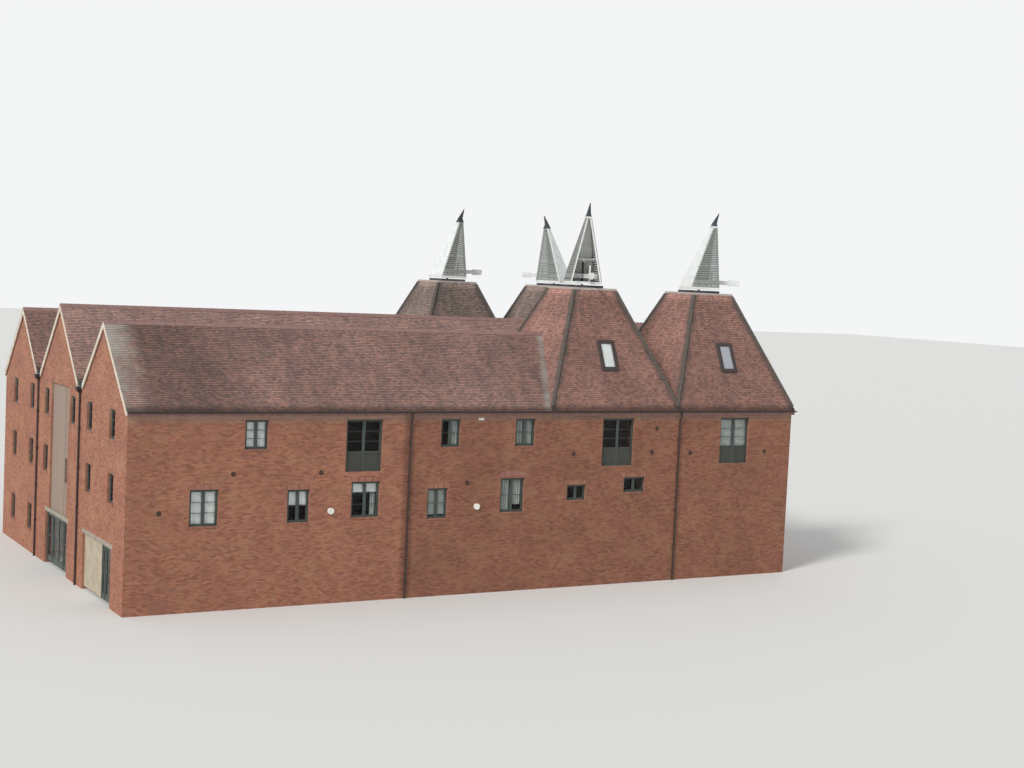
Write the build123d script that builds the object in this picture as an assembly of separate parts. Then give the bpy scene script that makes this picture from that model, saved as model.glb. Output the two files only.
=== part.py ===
from build123d import *
from math import asin, atan2, cos, degrees, sin, sqrt
import os

# A brick oast house: three gabled ranges side by side, and four square kilns
# with tiled pyramid roofs and turning cowls at their right-hand end.
# Lengths are millimetres. While a piece is made, x runs along the front from its
# left corner, y runs in from the front face and z runs up from the ground.
# Each piece is moved to the middle of the footprint when it is saved.

os.makedirs("parts", exist_ok=True)

# Plan
range_length = 20600
kiln_size = 7400
middle_width = 7200
wall = 330
spine_wall = 440

# Storeys
ground_slab = 150
middle_floor_top = 2950
upper_floor_top = 5850
floor_thickness = 250
eave = 8600

# Range roofs
outer_ridge_rise = 3570
outer_ridge_offset = 3690
middle_ridge_rise = 4020
valley_rise = 630
valley_width = 780
eave_overhang = 120
verge_overhang = 60
roof_thickness = 200
barge_thickness = 40
barge_drop = 15
ridge_tile_reach = 170
ridge_tile_thickness = 35

# Kiln roofs
kiln_rise = 5840
kiln_top = 2480
hip_radius = 85
hip_start = 250

# Valley trays between the ranges
tray_thickness = 40
tray_depth = 190
tray_freeboard = 10

# Kiln curbs and the posts that the cowls turn on
curb_height = 110
curb_overhang = 40
upstand_size = 1560
upstand_thickness = 60
upstand_height = 230
cross_beam_width = 120
cross_beam_height = 150
spindle_radius = 50
spindle_height = 1500

# Cowls
cowl_lift = 280
cowl_size = 1650
cowl_height = 3300
cowl_top_size = 300
cowl_board = 35
cowl_post = 70
cowl_stile = 100
slat_pitch = 120
slat_drop = 60
slat_thickness = 14
centre_post_height = 950
post_offset = 180
cowl_base_width = 120
cowl_base_height = 130
cowl_cap_height = 720
cowl_cap_neck = 180
cowl_cap_step = 60
cowl_cap_tip = 30
cowl_cap_lean = 110
cowl_cap_block = 60
cowl_cap_overhang = 20
hub_radius = 110
hub_height = 160
hub_rail_height = 80
spindle_play = 0.5
spindle_end_gap = 0.3
vane_height = 520
vane_root = 110
vane_reach = 2300
vane_arm_width = 45
vane_arm_height = 220
vane_rail = 70
vane_board_length = 680
vane_board_height = 330
vane_board_thickness = 30
vane_board_round = 110
cowl_turns = {"front_left": -109, "front_right": -15, "rear_right": 120, "rear_left": 0}

# Windows and upper doors: left edge along the wall, sill, width, height, lights
frame_setback = 100
frame_depth = 70
frame_bar = 60
glass_thickness = 12
upper_head = 8230
front_windows = {
    "upper_1": (5130, 6950, 1050, 1280, 2),
    "upper_2": (14630, 6930, 1000, 1300, 2),
    "upper_3": (18600, 6930, 1080, 1300, 2),
    "middle_1": (2750, 3680, 1280, 1580, 2),
    "middle_2": (7180, 3690, 1030, 1460, 2),
    "middle_3": (10230, 3810, 1380, 1620, 2),
    "middle_4": (14060, 3630, 1040, 1400, 2),
    "middle_5": (17920, 3790, 1290, 1620, 2),
    "middle_6": (21630, 4250, 1080, 750, 2),
    "middle_7": (24930, 4550, 1270, 750, 2),
}
front_doors = {
    "upper_door_1": (9880, 1780),
    "upper_door_2": (23550, 1850),
    "upper_door_3": (30780, 1830),
}
upper_door_guard = 800
arched_windows = ["middle_5"]
arch_rise = 130
arch_ring = 225
arch_depth = 215
arch_bearing = 90
gable_window_width = 850
gable_window_height = 1290
gable_window_near = 1800
gable_window_far = 5320
gable_upper_sill = 7200
gable_middle_sill = 4450
gable_low_sill = 1150
middle_gable_near = 8150
middle_gable_far = 12900
end_window_width = 1050

# Ground openings in the left-hand gables
door_head = 2550
lintel_height = 200
lintel_bearing = 200
front_opening_start = 1850
front_opening_width = 4400
front_door_width = 1000
front_sidelight_width = 420
middle_opening_width = 4000
infill_thickness = 150
door_bar = 70
door_leaf = 45
door_gap = 8
door_floor_gap = 12
door_pair_leaf = 950
door_stile = 110
door_kick = 260
door_glass = 10
door_rail = 50
door_meeting_gap = 12
hinge_heights = [450, 1300, 2150]
hinge_radius = 12
hinge_pin_radius = 6
hinge_play = 0.05
hinge_end_gap = 0.3
hinge_knuckle = 50
hinge_stand_off = 2
hinge_plate_width = 40
hinge_plate_thickness = 4

# Loading bay in the middle gable
bay_start = 9250
bay_width = 3150
bay_sill = 2750
bay_head = 8850
bay_light_width = 800
bay_light_sill = 4300
bay_light_height = 1150

# Rainwater goods
gutter_width = 120
gutter_wall = 6
gutter_drop = 20
pipe_radius = 45
pipe_gap = 30
pipe_neck = 480
left_pipe = 13050
party_pipe_offset = 150
hopper_width = 320
hopper_depth = 240
hopper_height = 280

# Small fittings on the front wall
tie_plate_radius = 110
tie_plate_thickness = 25
tie_plates = [(1425, 4300), (4650, 5900), (8720, 5880), (16100, 5250), (21900, 6520),
              (26530, 6540), (26770, 7700), (28900, 6450), (33700, 6480)]
lamp_radius = 140
lamp_thickness = 110
lamps = [(9230, 4160), (16640, 4120)]
vent = (16700, 8170)
vent_width = 300
vent_height = 110
vent_thickness = 30
vent_slots = 3
rooflight_width = 1000
rooflight_slope_length = 1620
rooflight_rise = 60
rooflight_start = 2080
rooflight_glass_depth = 20

# Sizes that follow from the ones above
length = range_length + 2 * kiln_size
depth = 2 * kiln_size + middle_width
kiln_x = [range_length, range_length + kiln_size]
party_x = kiln_x[1] - wall / 2
spine_y = kiln_size - spine_wall
spine_middle = kiln_size - spine_wall / 2
valley_near = spine_middle - valley_width / 2
valley_far = spine_middle + valley_width / 2
range_slope = outer_ridge_rise / (outer_ridge_offset + eave_overhang)
range_drop = roof_thickness * sqrt(1 + range_slope ** 2)
range_plate = eave + range_slope * eave_overhang - range_drop
middle_slope = (middle_ridge_rise - valley_rise) / (depth / 2 - valley_far)
middle_drop = roof_thickness * sqrt(1 + middle_slope ** 2)
tray_bottom = eave + valley_rise - tray_depth
kiln_inset = (kiln_size - kiln_top) / 2
kiln_slope = kiln_rise / (kiln_inset + eave_overhang)
kiln_run = roof_thickness * sqrt(1 + kiln_slope ** 2) / kiln_slope
kiln_plate = eave - (kiln_run - eave_overhang) * kiln_slope
kiln_head = eave + kiln_rise
kiln_pitch = degrees(atan2(kiln_rise, kiln_inset + eave_overhang))
overlap_reach = 60
gutter_top = eave - gutter_drop
gable_start = -verge_overhang - barge_thickness


def block(x0, x1, y0, y1, z0, z1):
    """A square-edged block between two corners."""
    size = Box(x1 - x0, y1 - y0, z1 - z0, align=(Align.MIN, Align.MIN, Align.MIN))
    return Pos(x0, y0, z0) * size


def along_x(points, x0, x1):
    """An outline of y and z points carried along x."""
    outline = Plane.YZ.offset(x0) * Polygon(*points, align=None)
    return extrude(outline, amount=x1 - x0, dir=(1, 0, 0))


def flip(shape):
    """The same piece on the rear half of the building."""
    return mirror(shape, about=Plane.XZ.offset(-depth / 2))


def tapered(low, high, z0, z1):
    """A flat-sided block that changes from one level rectangle to another."""
    rings = []
    for (x0, x1, y0, y1), z in ((low, z0), (high, z1)):
        rings.append([(x0, y0, z), (x1, y0, z), (x1, y1, z), (x0, y1, z)])
    outlines = rings + [[rings[0][i - 1], rings[0][i], rings[1][i], rings[1][i - 1]] for i in range(4)]
    return Solid(Shell([Face(Wire.make_polygon(outline)) for outline in outlines]))


def save(node, *shapes):
    """Write one named piece, moved to the middle of the footprint."""
    middle = Pos(-length / 2, -depth / 2, 0)
    solids = [middle * s for shape in shapes for s in shape.solids()]
    export_step(solids[0] if len(solids) == 1 else Compound(solids), f"parts/{node}.step")


# Kiln roof volumes, from which walls and neighbouring roofs are cut

def kiln_filled(x):
    """Everything inside the tiled faces of a front kiln roof."""
    right = x + kiln_size + (eave_overhang if x == kiln_x[-1] else 0)
    clip = block(x, right, -eave_overhang, kiln_size, kiln_plate, kiln_head)
    low = -eave_overhang
    high = kiln_size + eave_overhang
    base = block(x + low, x + high, low, high, kiln_plate, eave)
    top = (kiln_inset, kiln_inset + kiln_top)
    cone = tapered((x + low, x + high, low, high), (x + top[0], x + top[1], top[0], top[1]),
                   eave, kiln_head)
    return (base + cone) & clip


def kiln_void(x):
    """The space under a front kiln roof, from its wall plate up."""
    low = kiln_inset + kiln_run
    high = kiln_size - low
    return tapered((x, x + kiln_size, 0, kiln_size), (x + low, x + high, low, high),
                   kiln_plate, kiln_head)


filled = [kiln_filled(x) for x in kiln_x]
voids = [kiln_void(x) for x in kiln_x]


def under_kilns(shape):
    """Trim walls that reach up under the kiln roofs."""
    body = shape & block(0, length, 0, depth, 0, kiln_plate)
    for void in voids:
        body += shape & void
    return body


# Window and door units, made about their own middle: x along the wall,
# y in from the outer face, z up from the sill

def placed(shape, side, middle, sill):
    """Put a unit in one of the four outer walls."""
    spots = {"front": (Pos(middle, 0, sill), 0), "rear": (Pos(middle, depth, sill), 180),
             "left": (Pos(0, middle, sill), -90), "right": (Pos(length, middle, sill), 90)}
    spot, turn = spots[side]
    return spot * Rot(0, 0, turn) * shape


def hole(width, height):
    """The cutter for a square opening."""
    return block(-width / 2, width / 2, -wall, 2 * wall, 0, height)


def window_frame(width, height, lights):
    """A timber frame with its mullions."""
    outer = block(-width / 2, width / 2, frame_setback, frame_setback + frame_depth, 0, height)
    light = (width - (lights + 1) * frame_bar) / lights
    for i in range(lights):
        x0 = -width / 2 + frame_bar + i * (light + frame_bar)
        outer -= block(x0, x0 + light, 0, wall, frame_bar, height - frame_bar)
    return outer


def window_glass(width, height):
    """The sheet of glass behind a window frame."""
    face = frame_setback + frame_depth
    return block(-width / 2, width / 2, face, face + glass_thickness, 0, height)


def upper_door(width, height):
    """A fixed pair of glazed leaves with a boarded guard across the foot."""
    doors = window_frame(width, height, 2)
    inner = width / 2 - frame_bar
    guard = block(-inner, inner, frame_setback + frame_depth / 3, frame_setback + frame_depth,
                  frame_bar, frame_bar + upper_door_guard)
    return doors + guard


def window_arch(width, height):
    """A segmental ring of brick let into the wall's face over a window."""
    span = width + 2 * arch_bearing
    radius = span ** 2 / (8 * arch_rise) + arch_rise / 2
    outer = radius + arch_ring
    centre = height + arch_rise - radius
    half = asin(span / 2 / radius)
    reach = 2 * outer
    wedge = Pos(0, arch_depth, 0) * extrude(Plane.XZ * Polygon(
        (0, centre), (reach * sin(half), centre + reach * cos(half)),
        (-reach * sin(half), centre + reach * cos(half)), align=None), amount=arch_depth)
    disc = Pos(0, arch_depth / 2, centre) * Rot(90, 0, 0)
    return wedge & (disc * Cylinder(outer, arch_depth) - disc * Cylinder(radius, 2 * arch_depth))


upper_door_sill = upper_floor_top + 30
upper_door_height = upper_head - upper_door_sill

# Every opening as side, middle along the wall, sill, width, height, lights
openings = []
for left, sill, width, height, lights in front_windows.values():
    openings.append(("front", left + width / 2, sill, width, height, lights))
    openings.append(("rear", left + width / 2, sill, width, height, lights))
for near in (gable_window_near, gable_window_far):
    for sill in (gable_middle_sill, gable_upper_sill):
        middle = near + gable_window_width / 2
        openings.append(("left", middle, sill, gable_window_width, gable_window_height, 1))
        openings.append(("left", depth - middle, sill, gable_window_width, gable_window_height, 1))
    openings.append(("left", depth - near - gable_window_width / 2, gable_low_sill,
                     gable_window_width, gable_window_height, 1))
for near in (middle_gable_near, middle_gable_far):
    openings.append(("left", near + gable_window_width / 2, gable_upper_sill,
                     gable_window_width, gable_window_height, 1))
openings.append(("left", middle_gable_far + gable_window_width / 2, gable_middle_sill,
                 gable_window_width, gable_window_height, 1))
for middle in (kiln_size / 2, depth / 2, depth - kiln_size / 2):
    for sill in (gable_middle_sill, upper_head - gable_window_height):
        openings.append(("right", middle, sill, end_window_width, gable_window_height, 2))


def cut_openings(body, side):
    """Cut one wall's windows and upper doors through it."""
    for where, middle, sill, width, height, _ in openings:
        if where == side:
            body -= placed(hole(width, height), side, middle, sill)
    return body


# Walls

def outer_wall():
    """The front wall, with its top cut to the slope of the roofs."""
    inner = range_plate + wall * range_slope
    strip = along_x([(0, 0), (0, range_plate), (wall, inner), (wall, 0)], wall, kiln_x[0])
    return strip + under_kilns(block(kiln_x[0], length, 0, wall, 0, kiln_head))


def range_gable():
    """The front range's left gable, up to the underside of its roof."""
    ridge = eave + outer_ridge_rise - range_drop
    foot = eave + valley_rise - range_drop
    return along_x([(0, 0), (0, range_plate), (outer_ridge_offset, ridge), (valley_near, foot),
                    (valley_near, tray_bottom), (spine_middle, tray_bottom), (spine_middle, 0)],
                   0, wall)


def middle_gable(start, foot_y, shoulder):
    """A gable of the middle range between two rooflines."""
    ridge = eave + middle_ridge_rise - middle_drop
    foot = eave + valley_rise - middle_drop
    half = [(start, 0), (start, shoulder), (foot_y, shoulder), (foot_y, foot)]
    points = half + [(depth / 2, ridge)] + [(depth - y, z) for y, z in reversed(half)]
    return points


front_wall = outer_wall()
rear_wall = cut_openings(flip(front_wall), "rear")
front_wall = cut_openings(front_wall, "front")
for left, width in front_doors.values():
    front_wall -= placed(hole(width, upper_door_height), "front", left + width / 2, upper_door_sill)
arches = []
for name in arched_windows:
    left, sill, width, height, _ = front_windows[name]
    arches.append(placed(window_arch(width, height), "front", left + width / 2, sill))
for arch in arches:
    front_wall -= arch
    rear_wall -= flip(arch)
save("front_wall", front_wall)
save("rear_wall", rear_wall)
save("window_arches", *arches, *[flip(arch) for arch in arches])

gable = range_gable()
front_opening_end = front_opening_start + front_opening_width
base_cut = block(-wall, 2 * wall, 0, depth, 0, door_head)
lintel_front = block(0, wall, front_opening_start - lintel_bearing,
                     front_opening_end + lintel_bearing, door_head, door_head + lintel_height)
save("front_gable_wall", cut_openings(gable - base_cut - lintel_front, "left"))
save("front_gable_piers", block(0, wall, 0, front_opening_start, 0, door_head),
     block(0, wall, front_opening_end, spine_middle, 0, door_head))
save("rear_gable_wall", cut_openings(flip(gable), "left"))

middle_start = spine_middle
middle_opening_start = (depth - middle_opening_width) / 2
middle_opening_end = depth - middle_opening_start
lintel_middle = block(0, wall, middle_opening_start - lintel_bearing,
                      middle_opening_end + lintel_bearing, door_head, door_head + lintel_height)
middle_wall = along_x(middle_gable(middle_start, valley_far, tray_bottom), 0, wall)
middle_wall = cut_openings(middle_wall - base_cut - lintel_middle, "left")
middle_wall -= block(-wall, 2 * wall, bay_start, bay_start + bay_width, bay_sill, bay_head)
save("middle_gable_wall", middle_wall)
save("middle_gable_piers", block(0, wall, middle_start, middle_opening_start, 0, door_head),
     block(0, wall, middle_opening_end, depth - middle_start, 0, door_head))
save("lintels", lintel_front, lintel_middle)

kiln_edge = eave + valley_rise - middle_drop - middle_slope * (valley_far - kiln_size)
ridge_under = eave + middle_ridge_rise - middle_drop
right_gable = along_x([(kiln_size, 0), (kiln_size, kiln_edge), (depth / 2, ridge_under),
                       (depth - kiln_size, kiln_edge), (depth - kiln_size, 0)],
                      length - wall, length)
right_side = under_kilns(block(length - wall, length, wall, kiln_size, 0, kiln_head))
right_wall = right_side + right_gable + flip(right_side)
save("right_wall", cut_openings(right_wall, "right"))

spine = block(wall, kiln_x[0], spine_y, kiln_size, 0, tray_bottom)
spine += under_kilns(block(kiln_x[0], length - wall, spine_y, kiln_size, 0, kiln_head))
save("spine_walls", spine, flip(spine))

end_wall = under_kilns(block(kiln_x[0], kiln_x[0] + wall, wall, spine_y, 0, kiln_head))
party_wall = under_kilns(block(party_x, party_x + wall, wall, spine_y, 0, kiln_head))
save("kiln_walls", end_wall, party_wall, flip(end_wall), flip(party_wall))

# Floors, one slab in each room

room_edges = [(wall, kiln_x[0]), (kiln_x[0] + wall, party_x), (party_x + wall, length - wall)]


def storey(top, thickness):
    """The floor slabs of one storey."""
    side = [block(x0, x1, wall, spine_y, top - thickness, top) for x0, x1 in room_edges]
    across = block(wall, length - wall, kiln_size, depth - kiln_size, top - thickness, top)
    return side + [flip(slab) for slab in side] + [across]


save("ground_floor", *storey(ground_slab, ground_slab))
save("middle_floor", *storey(middle_floor_top, floor_thickness))
save("upper_floor", *storey(upper_floor_top, floor_thickness))

# Range roofs

outer_section = [(-eave_overhang, range_plate), (-eave_overhang, eave),
                 (outer_ridge_offset, eave + outer_ridge_rise), (valley_near, eave + valley_rise),
                 (valley_near, eave + valley_rise - range_drop),
                 (outer_ridge_offset, eave + outer_ridge_rise - range_drop), (0, range_plate)]
roof_end = kiln_x[0] + kiln_inset
front_roof = along_x(outer_section, -verge_overhang, roof_end) - filled[0]
save("front_range_roof", front_roof)
save("rear_range_roof", flip(front_roof))


def middle_section(edge, lower):
    """The middle roof's slab, ending at one edge line on both sides."""
    top = eave + valley_rise - middle_slope * (valley_far - edge)
    half = [(edge, top - middle_drop), (edge, top)]
    outer = half + [(depth / 2, eave + middle_ridge_rise)] + [(depth - y, z) for y, z in reversed(half)]
    return outer + [(depth / 2, eave + middle_ridge_rise - middle_drop - lower)]


kiln_seat = kiln_size - overlap_reach
middle_roof = along_x(middle_section(valley_far, 0), -verge_overhang, kiln_x[0])
middle_roof += along_x(middle_section(kiln_seat, 0), kiln_x[0], length + verge_overhang)
for mass in filled:
    middle_roof = middle_roof - mass - flip(mass)
save("middle_range_roof", middle_roof)



def rooflight_block(x, inset, low, high):
    """A block lying on a kiln's front face: a rooflight, or a cut inside its frame."""
    left = (kiln_size - rooflight_width) / 2 + inset
    body = block(left, kiln_size - left, rooflight_start + inset,
                 rooflight_start + rooflight_slope_length - inset, low, high)
    return Pos(x, -eave_overhang, eave) * Rot(kiln_pitch, 0, 0) * body


rooflights = []
rooflight_panes = []
for name, x, mass, void in zip(("left", "right"), kiln_x, filled, voids):
    roof = mass - void
    save(f"rear_{name}_kiln_roof", flip(roof))
    opening = rooflight_block(x, frame_bar, -2 * roof_thickness, 2 * rooflight_rise)
    save(f"front_{name}_kiln_roof", roof - opening)
    rooflights.append(rooflight_block(x, 0, 0, rooflight_rise) - opening)
    pane_top = rooflight_rise - rooflight_glass_depth
    rooflight_panes.append(rooflight_block(x, frame_bar, pane_top - glass_thickness, pane_top))
save("rooflights", *rooflights)

# Round hip tiles on the kilns' corners


def kiln_hips(x):
    """The four hip rolls of a front kiln, from just above the eaves to the curb."""
    outer = kiln_inset + eave_overhang
    rolls = []
    for side_x, side_y in ((1, 1), (1, -1), (-1, 1), (-1, -1)):
        corner = Vector(x + kiln_size / 2 - side_x * (kiln_size / 2 + eave_overhang),
                        kiln_size / 2 - side_y * (kiln_size / 2 + eave_overhang), eave)
        slant = Vector(side_x * outer, side_y * outer, kiln_rise)
        foot = corner + slant * (hip_start / slant.length)
        roll = extrude(Plane(foot, z_dir=slant) * Circle(hip_radius), amount=slant.length)
        rolls.append(roll & block(-length, 2 * length, -depth, depth, 0, kiln_head))
    return rolls


beside = [filled[0], filled[1], middle_roof, front_roof]
hips = []
for x in kiln_x:
    for roll in kiln_hips(x):
        for shape in beside:
            roll = roll - shape
        hips.append(roll)

# Ridge tiles, bargeboards and valley trays


def ridge_strip(ridge_y, ridge_z, slope, x0, x1):
    """An angle tile course along a ridge."""
    foot = ridge_z - ridge_tile_reach * slope
    lift = ridge_tile_thickness * sqrt(1 + slope ** 2)
    return along_x([(ridge_y - ridge_tile_reach, foot), (ridge_y, ridge_z),
                    (ridge_y + ridge_tile_reach, foot), (ridge_y + ridge_tile_reach, foot + lift),
                    (ridge_y, ridge_z + lift), (ridge_y - ridge_tile_reach, foot + lift)], x0, x1)


outer_rear_slope = (outer_ridge_rise - valley_rise) / (valley_near - outer_ridge_offset)
steeper = max(range_slope, outer_rear_slope)
front_ridge = ridge_strip(outer_ridge_offset, eave + outer_ridge_rise, steeper, gable_start, roof_end)
front_ridge = front_ridge - filled[0] - front_roof
middle_ridge = ridge_strip(depth / 2, eave + middle_ridge_rise, middle_slope,
                           gable_start, length + verge_overhang + barge_thickness)
save("ridge_tiles", front_ridge, middle_ridge, flip(front_ridge))

barge_top = -barge_drop
front_barge = along_x([(-eave_overhang, eave + barge_top), (outer_ridge_offset, eave + outer_ridge_rise + barge_top),
                       (valley_near, eave + valley_rise + barge_top),
                       (valley_near, eave + valley_rise - range_drop),
                       (outer_ridge_offset, eave + outer_ridge_rise - range_drop), (0, range_plate),
                       (-eave_overhang, range_plate)], gable_start, -verge_overhang)
middle_outline = [(valley_far, eave + valley_rise + barge_top),
                  (depth / 2, eave + middle_ridge_rise + barge_top),
                  (depth - valley_far, eave + valley_rise + barge_top),
                  (depth - valley_far, eave + valley_rise - middle_drop),
                  (depth / 2, eave + middle_ridge_rise - middle_drop),
                  (valley_far, eave + valley_rise - middle_drop)]
middle_barge = along_x(middle_outline, gable_start, -verge_overhang)
right_barge = along_x(middle_outline, length + verge_overhang, length + verge_overhang + barge_thickness)
save("bargeboards", front_barge, flip(front_barge), middle_barge, right_barge)

tray_top = eave + valley_rise - tray_freeboard
tray = block(-verge_overhang, kiln_x[0], valley_near, valley_far, tray_bottom, tray_top)
tray -= block(-2 * verge_overhang, kiln_x[0], valley_near + tray_thickness, valley_far - tray_thickness,
              tray_bottom + tray_thickness, tray_top + tray_thickness)
tray += block(kiln_x[0], kiln_x[0] + wall, valley_near, kiln_seat,
              tray_bottom, tray_bottom + tray_thickness)
tray -= filled[0]
save("valley_gutters", tray, flip(tray))

clear = []
for roll in hips:
    rest = roll - tray - spine - right_wall
    clear += [part for part in rest.solids() if part.volume > hip_radius ** 3]
save("hip_tiles", *clear, *[flip(part) for part in clear])

# Gutters at the eaves and the downpipes

def gutter_body(radius, inset):
    """Two half-round runs that meet at the right-hand corner, as a solid rod cut level."""
    centre = -eave_overhang - gutter_width / 2
    corner = (length - centre, centre, gutter_top)
    run_x = length - centre + verge_overhang - inset
    run_y = kiln_size - centre - inset
    flush = (Align.CENTER, Align.CENTER, Align.MIN)
    body = Pos(*corner) * (Rot(0, -90, 0) * Cylinder(radius, run_x, align=flush)
                           + Rot(-90, 0, 0) * Cylinder(radius, run_y, align=flush) + Sphere(radius))
    return body & block(-length, 2 * length, -depth, depth, 0, gutter_top)


def eaves_gutter():
    """An open half-round gutter hung on the front eaves and round the right-hand corner."""
    outer = gutter_body(gutter_width / 2, 0)
    return outer - gutter_body(gutter_width / 2 - gutter_wall, gutter_wall)


gutter = eaves_gutter()
save("eaves_gutters", gutter, flip(gutter))


def downpipe(x):
    """A round pipe with a swan neck up to the front gutter."""
    wall_y = -pipe_gap - pipe_radius
    gutter_y = -eave_overhang - gutter_width / 2
    top = gutter_top - gutter_width / 2
    bend = (gutter_y - wall_y)
    path = FilletPolyline((x, wall_y, 0), (x, wall_y, top - pipe_neck),
                          (x, gutter_y, top - pipe_neck + 2 * abs(bend)), (x, gutter_y, top),
                          radius=pipe_radius)
    return sweep(Pos(x, wall_y, 0) * Circle(pipe_radius), path=path)


def hopper_pipe(y):
    """A hopper head under a valley tray, with its straight pipe."""
    reach = pipe_gap + hopper_depth
    head_top = tray_bottom
    foot = head_top - hopper_height
    box = block(-reach, -pipe_gap, y - hopper_width / 2, y + hopper_width / 2,
                foot + hopper_height / 2, head_top)
    centre = -pipe_gap - pipe_radius
    taper = tapered((centre - pipe_radius, centre + pipe_radius, y - pipe_radius, y + pipe_radius),
                    (-reach, -pipe_gap, y - hopper_width / 2, y + hopper_width / 2),
                    foot, foot + hopper_height / 2)
    pipe = Pos(centre, y, 0) * Cylinder(pipe_radius, foot, align=(Align.CENTER, Align.CENTER, Align.MIN))
    return box + taper + pipe


pipes = [downpipe(x) for x in (left_pipe, kiln_x[1] + party_pipe_offset)]
hoppers = [hopper_pipe(spine_middle), hopper_pipe(depth - spine_middle)]
save("rainwater_pipes", *pipes, *[flip(pipe) for pipe in pipes], *hoppers)

# Windows, upper doors and glass

frames = {"front": [], "rear": [], "left": [], "right": []}
panes = {"front": [], "rear": [], "left": [], "right": []}
for side, middle, sill, width, height, lights in openings:
    frames[side].append(placed(window_frame(width, height, lights), side, middle, sill))
    panes[side].append(placed(window_glass(width, height), side, middle, sill))
doors = []
for left, width in front_doors.values():
    middle = left + width / 2
    doors.append(placed(upper_door(width, upper_door_height), "front", middle, upper_door_sill))
    panes["front"].append(placed(window_glass(width, upper_door_height), "front", middle, upper_door_sill))
save("window_frames", *frames["front"], *frames["rear"], *frames["left"], *frames["right"])
save("upper_doors", *doors)

# Loading bay boarding with its glazed light

bay_panel = block(frame_setback, frame_setback + infill_thickness, bay_start, bay_start + bay_width,
                  bay_sill, bay_head)
bay_light = block(-wall, 2 * wall, bay_start, bay_start + bay_light_width,
                  bay_light_sill, bay_light_sill + bay_light_height)
save("loading_bay", bay_panel - bay_light)
bay_pane = block(frame_setback + infill_thickness / 2, frame_setback + infill_thickness / 2 + glass_thickness,
                 bay_start, bay_start + bay_light_width, bay_light_sill,
                 bay_light_sill + bay_light_height)
save("window_glass", *panes["front"], *panes["rear"], *panes["left"], *panes["right"], bay_pane,
     *rooflight_panes)

# Ground doors in the left-hand gables

door_back = frame_setback + frame_depth
door_face = door_back - door_leaf
hinge_x = door_back + hinge_stand_off + hinge_radius
leaf_foot = ground_slab + door_floor_gap
leaf_head = door_head - door_bar - door_gap


def door_frame(y0, y1, posts):
    """Jambs, head and extra posts of a ground doorway, standing on the floor."""
    body = block(frame_setback, frame_setback + frame_depth, y0, y1, ground_slab, door_head)
    edges = [y0] + posts + [y1 - door_bar]
    for left, right in zip(edges[:-1], edges[1:]):
        body -= block(0, wall, left + door_bar, right, 0, door_head - door_bar)
    return body


def glazed_leaf(y0, y1, foot, head):
    """The timber of a glazed leaf, and its pane."""
    leaf = block(door_face, door_back, y0, y1, foot, head)
    light = (y0 + door_stile, y1 - door_stile, foot + door_kick, head - door_stile)
    middle = door_face + (door_leaf - door_glass) / 2
    rail = (light[2] + light[3]) / 2
    bar = block(door_face, middle, light[0], light[1], rail - door_rail / 2, rail + door_rail / 2)
    return leaf - block(0, wall, *light) + bar, block(middle, middle + door_glass, *light)


def hinge_half(y, z, reach):
    """A knuckle with the plate that carries it, reaching to one side of the pin."""
    knuckle = Pos(hinge_x, y, z) * Cylinder(hinge_radius, hinge_knuckle,
                                            align=(Align.CENTER, Align.CENTER, Align.MIN))
    plate = block(door_back, door_back + hinge_plate_thickness, min(y, y + reach), max(y, y + reach),
                  z, z + hinge_knuckle)
    return knuckle + plate


def hung_on(frame, y, side):
    """Add the lower hinge halves and their pins to a jamb; the leaf lies to the given side."""
    for z in hinge_heights:
        pin = Pos(hinge_x, y, z) * Cylinder(hinge_pin_radius, hinge_knuckle,
                                            align=(Align.CENTER, Align.CENTER, Align.MIN))
        frame += hinge_half(y, z - hinge_knuckle, -side * hinge_plate_width) + pin
    return frame


def hinged_leaf(y, side, width):
    """A door leaf hung from the hinge line at y, with the upper hinge halves."""
    edges = sorted([y + side * door_gap / 2, y + side * (door_gap / 2 + width)])
    leaf, pane = glazed_leaf(edges[0], edges[1], leaf_foot, leaf_head)
    for z in hinge_heights:
        half = hinge_half(y, z + hinge_end_gap, side * hinge_plate_width)
        leaf += half - Pos(hinge_x, y, z) * Cylinder(hinge_pin_radius + hinge_play, 3 * hinge_knuckle)
    return leaf, pane


def save_door(node, y, side, width):
    """Write a hinged leaf and its pane."""
    leaf, pane = hinged_leaf(y, side, width)
    save(node, leaf)
    save(f"{node}_glass", pane)


front_door_y = front_opening_start + door_bar + door_gap
front_post = front_door_y + front_door_width + door_gap
front_frame_end = front_post + door_bar + front_sidelight_width + door_bar
front_frame = door_frame(front_opening_start, front_frame_end, [front_post])
front_sidelight, front_side_pane = glazed_leaf(front_post + door_bar, front_frame_end - door_bar,
                                               ground_slab, door_head - door_bar)
infill = block(frame_setback, frame_setback + infill_thickness, front_frame_end, front_opening_end,
               ground_slab, door_head)
front_hinge_y = front_door_y - door_gap / 2
save_door("front_door", front_hinge_y, 1, front_door_width)
save("gable_infill", infill)

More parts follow.
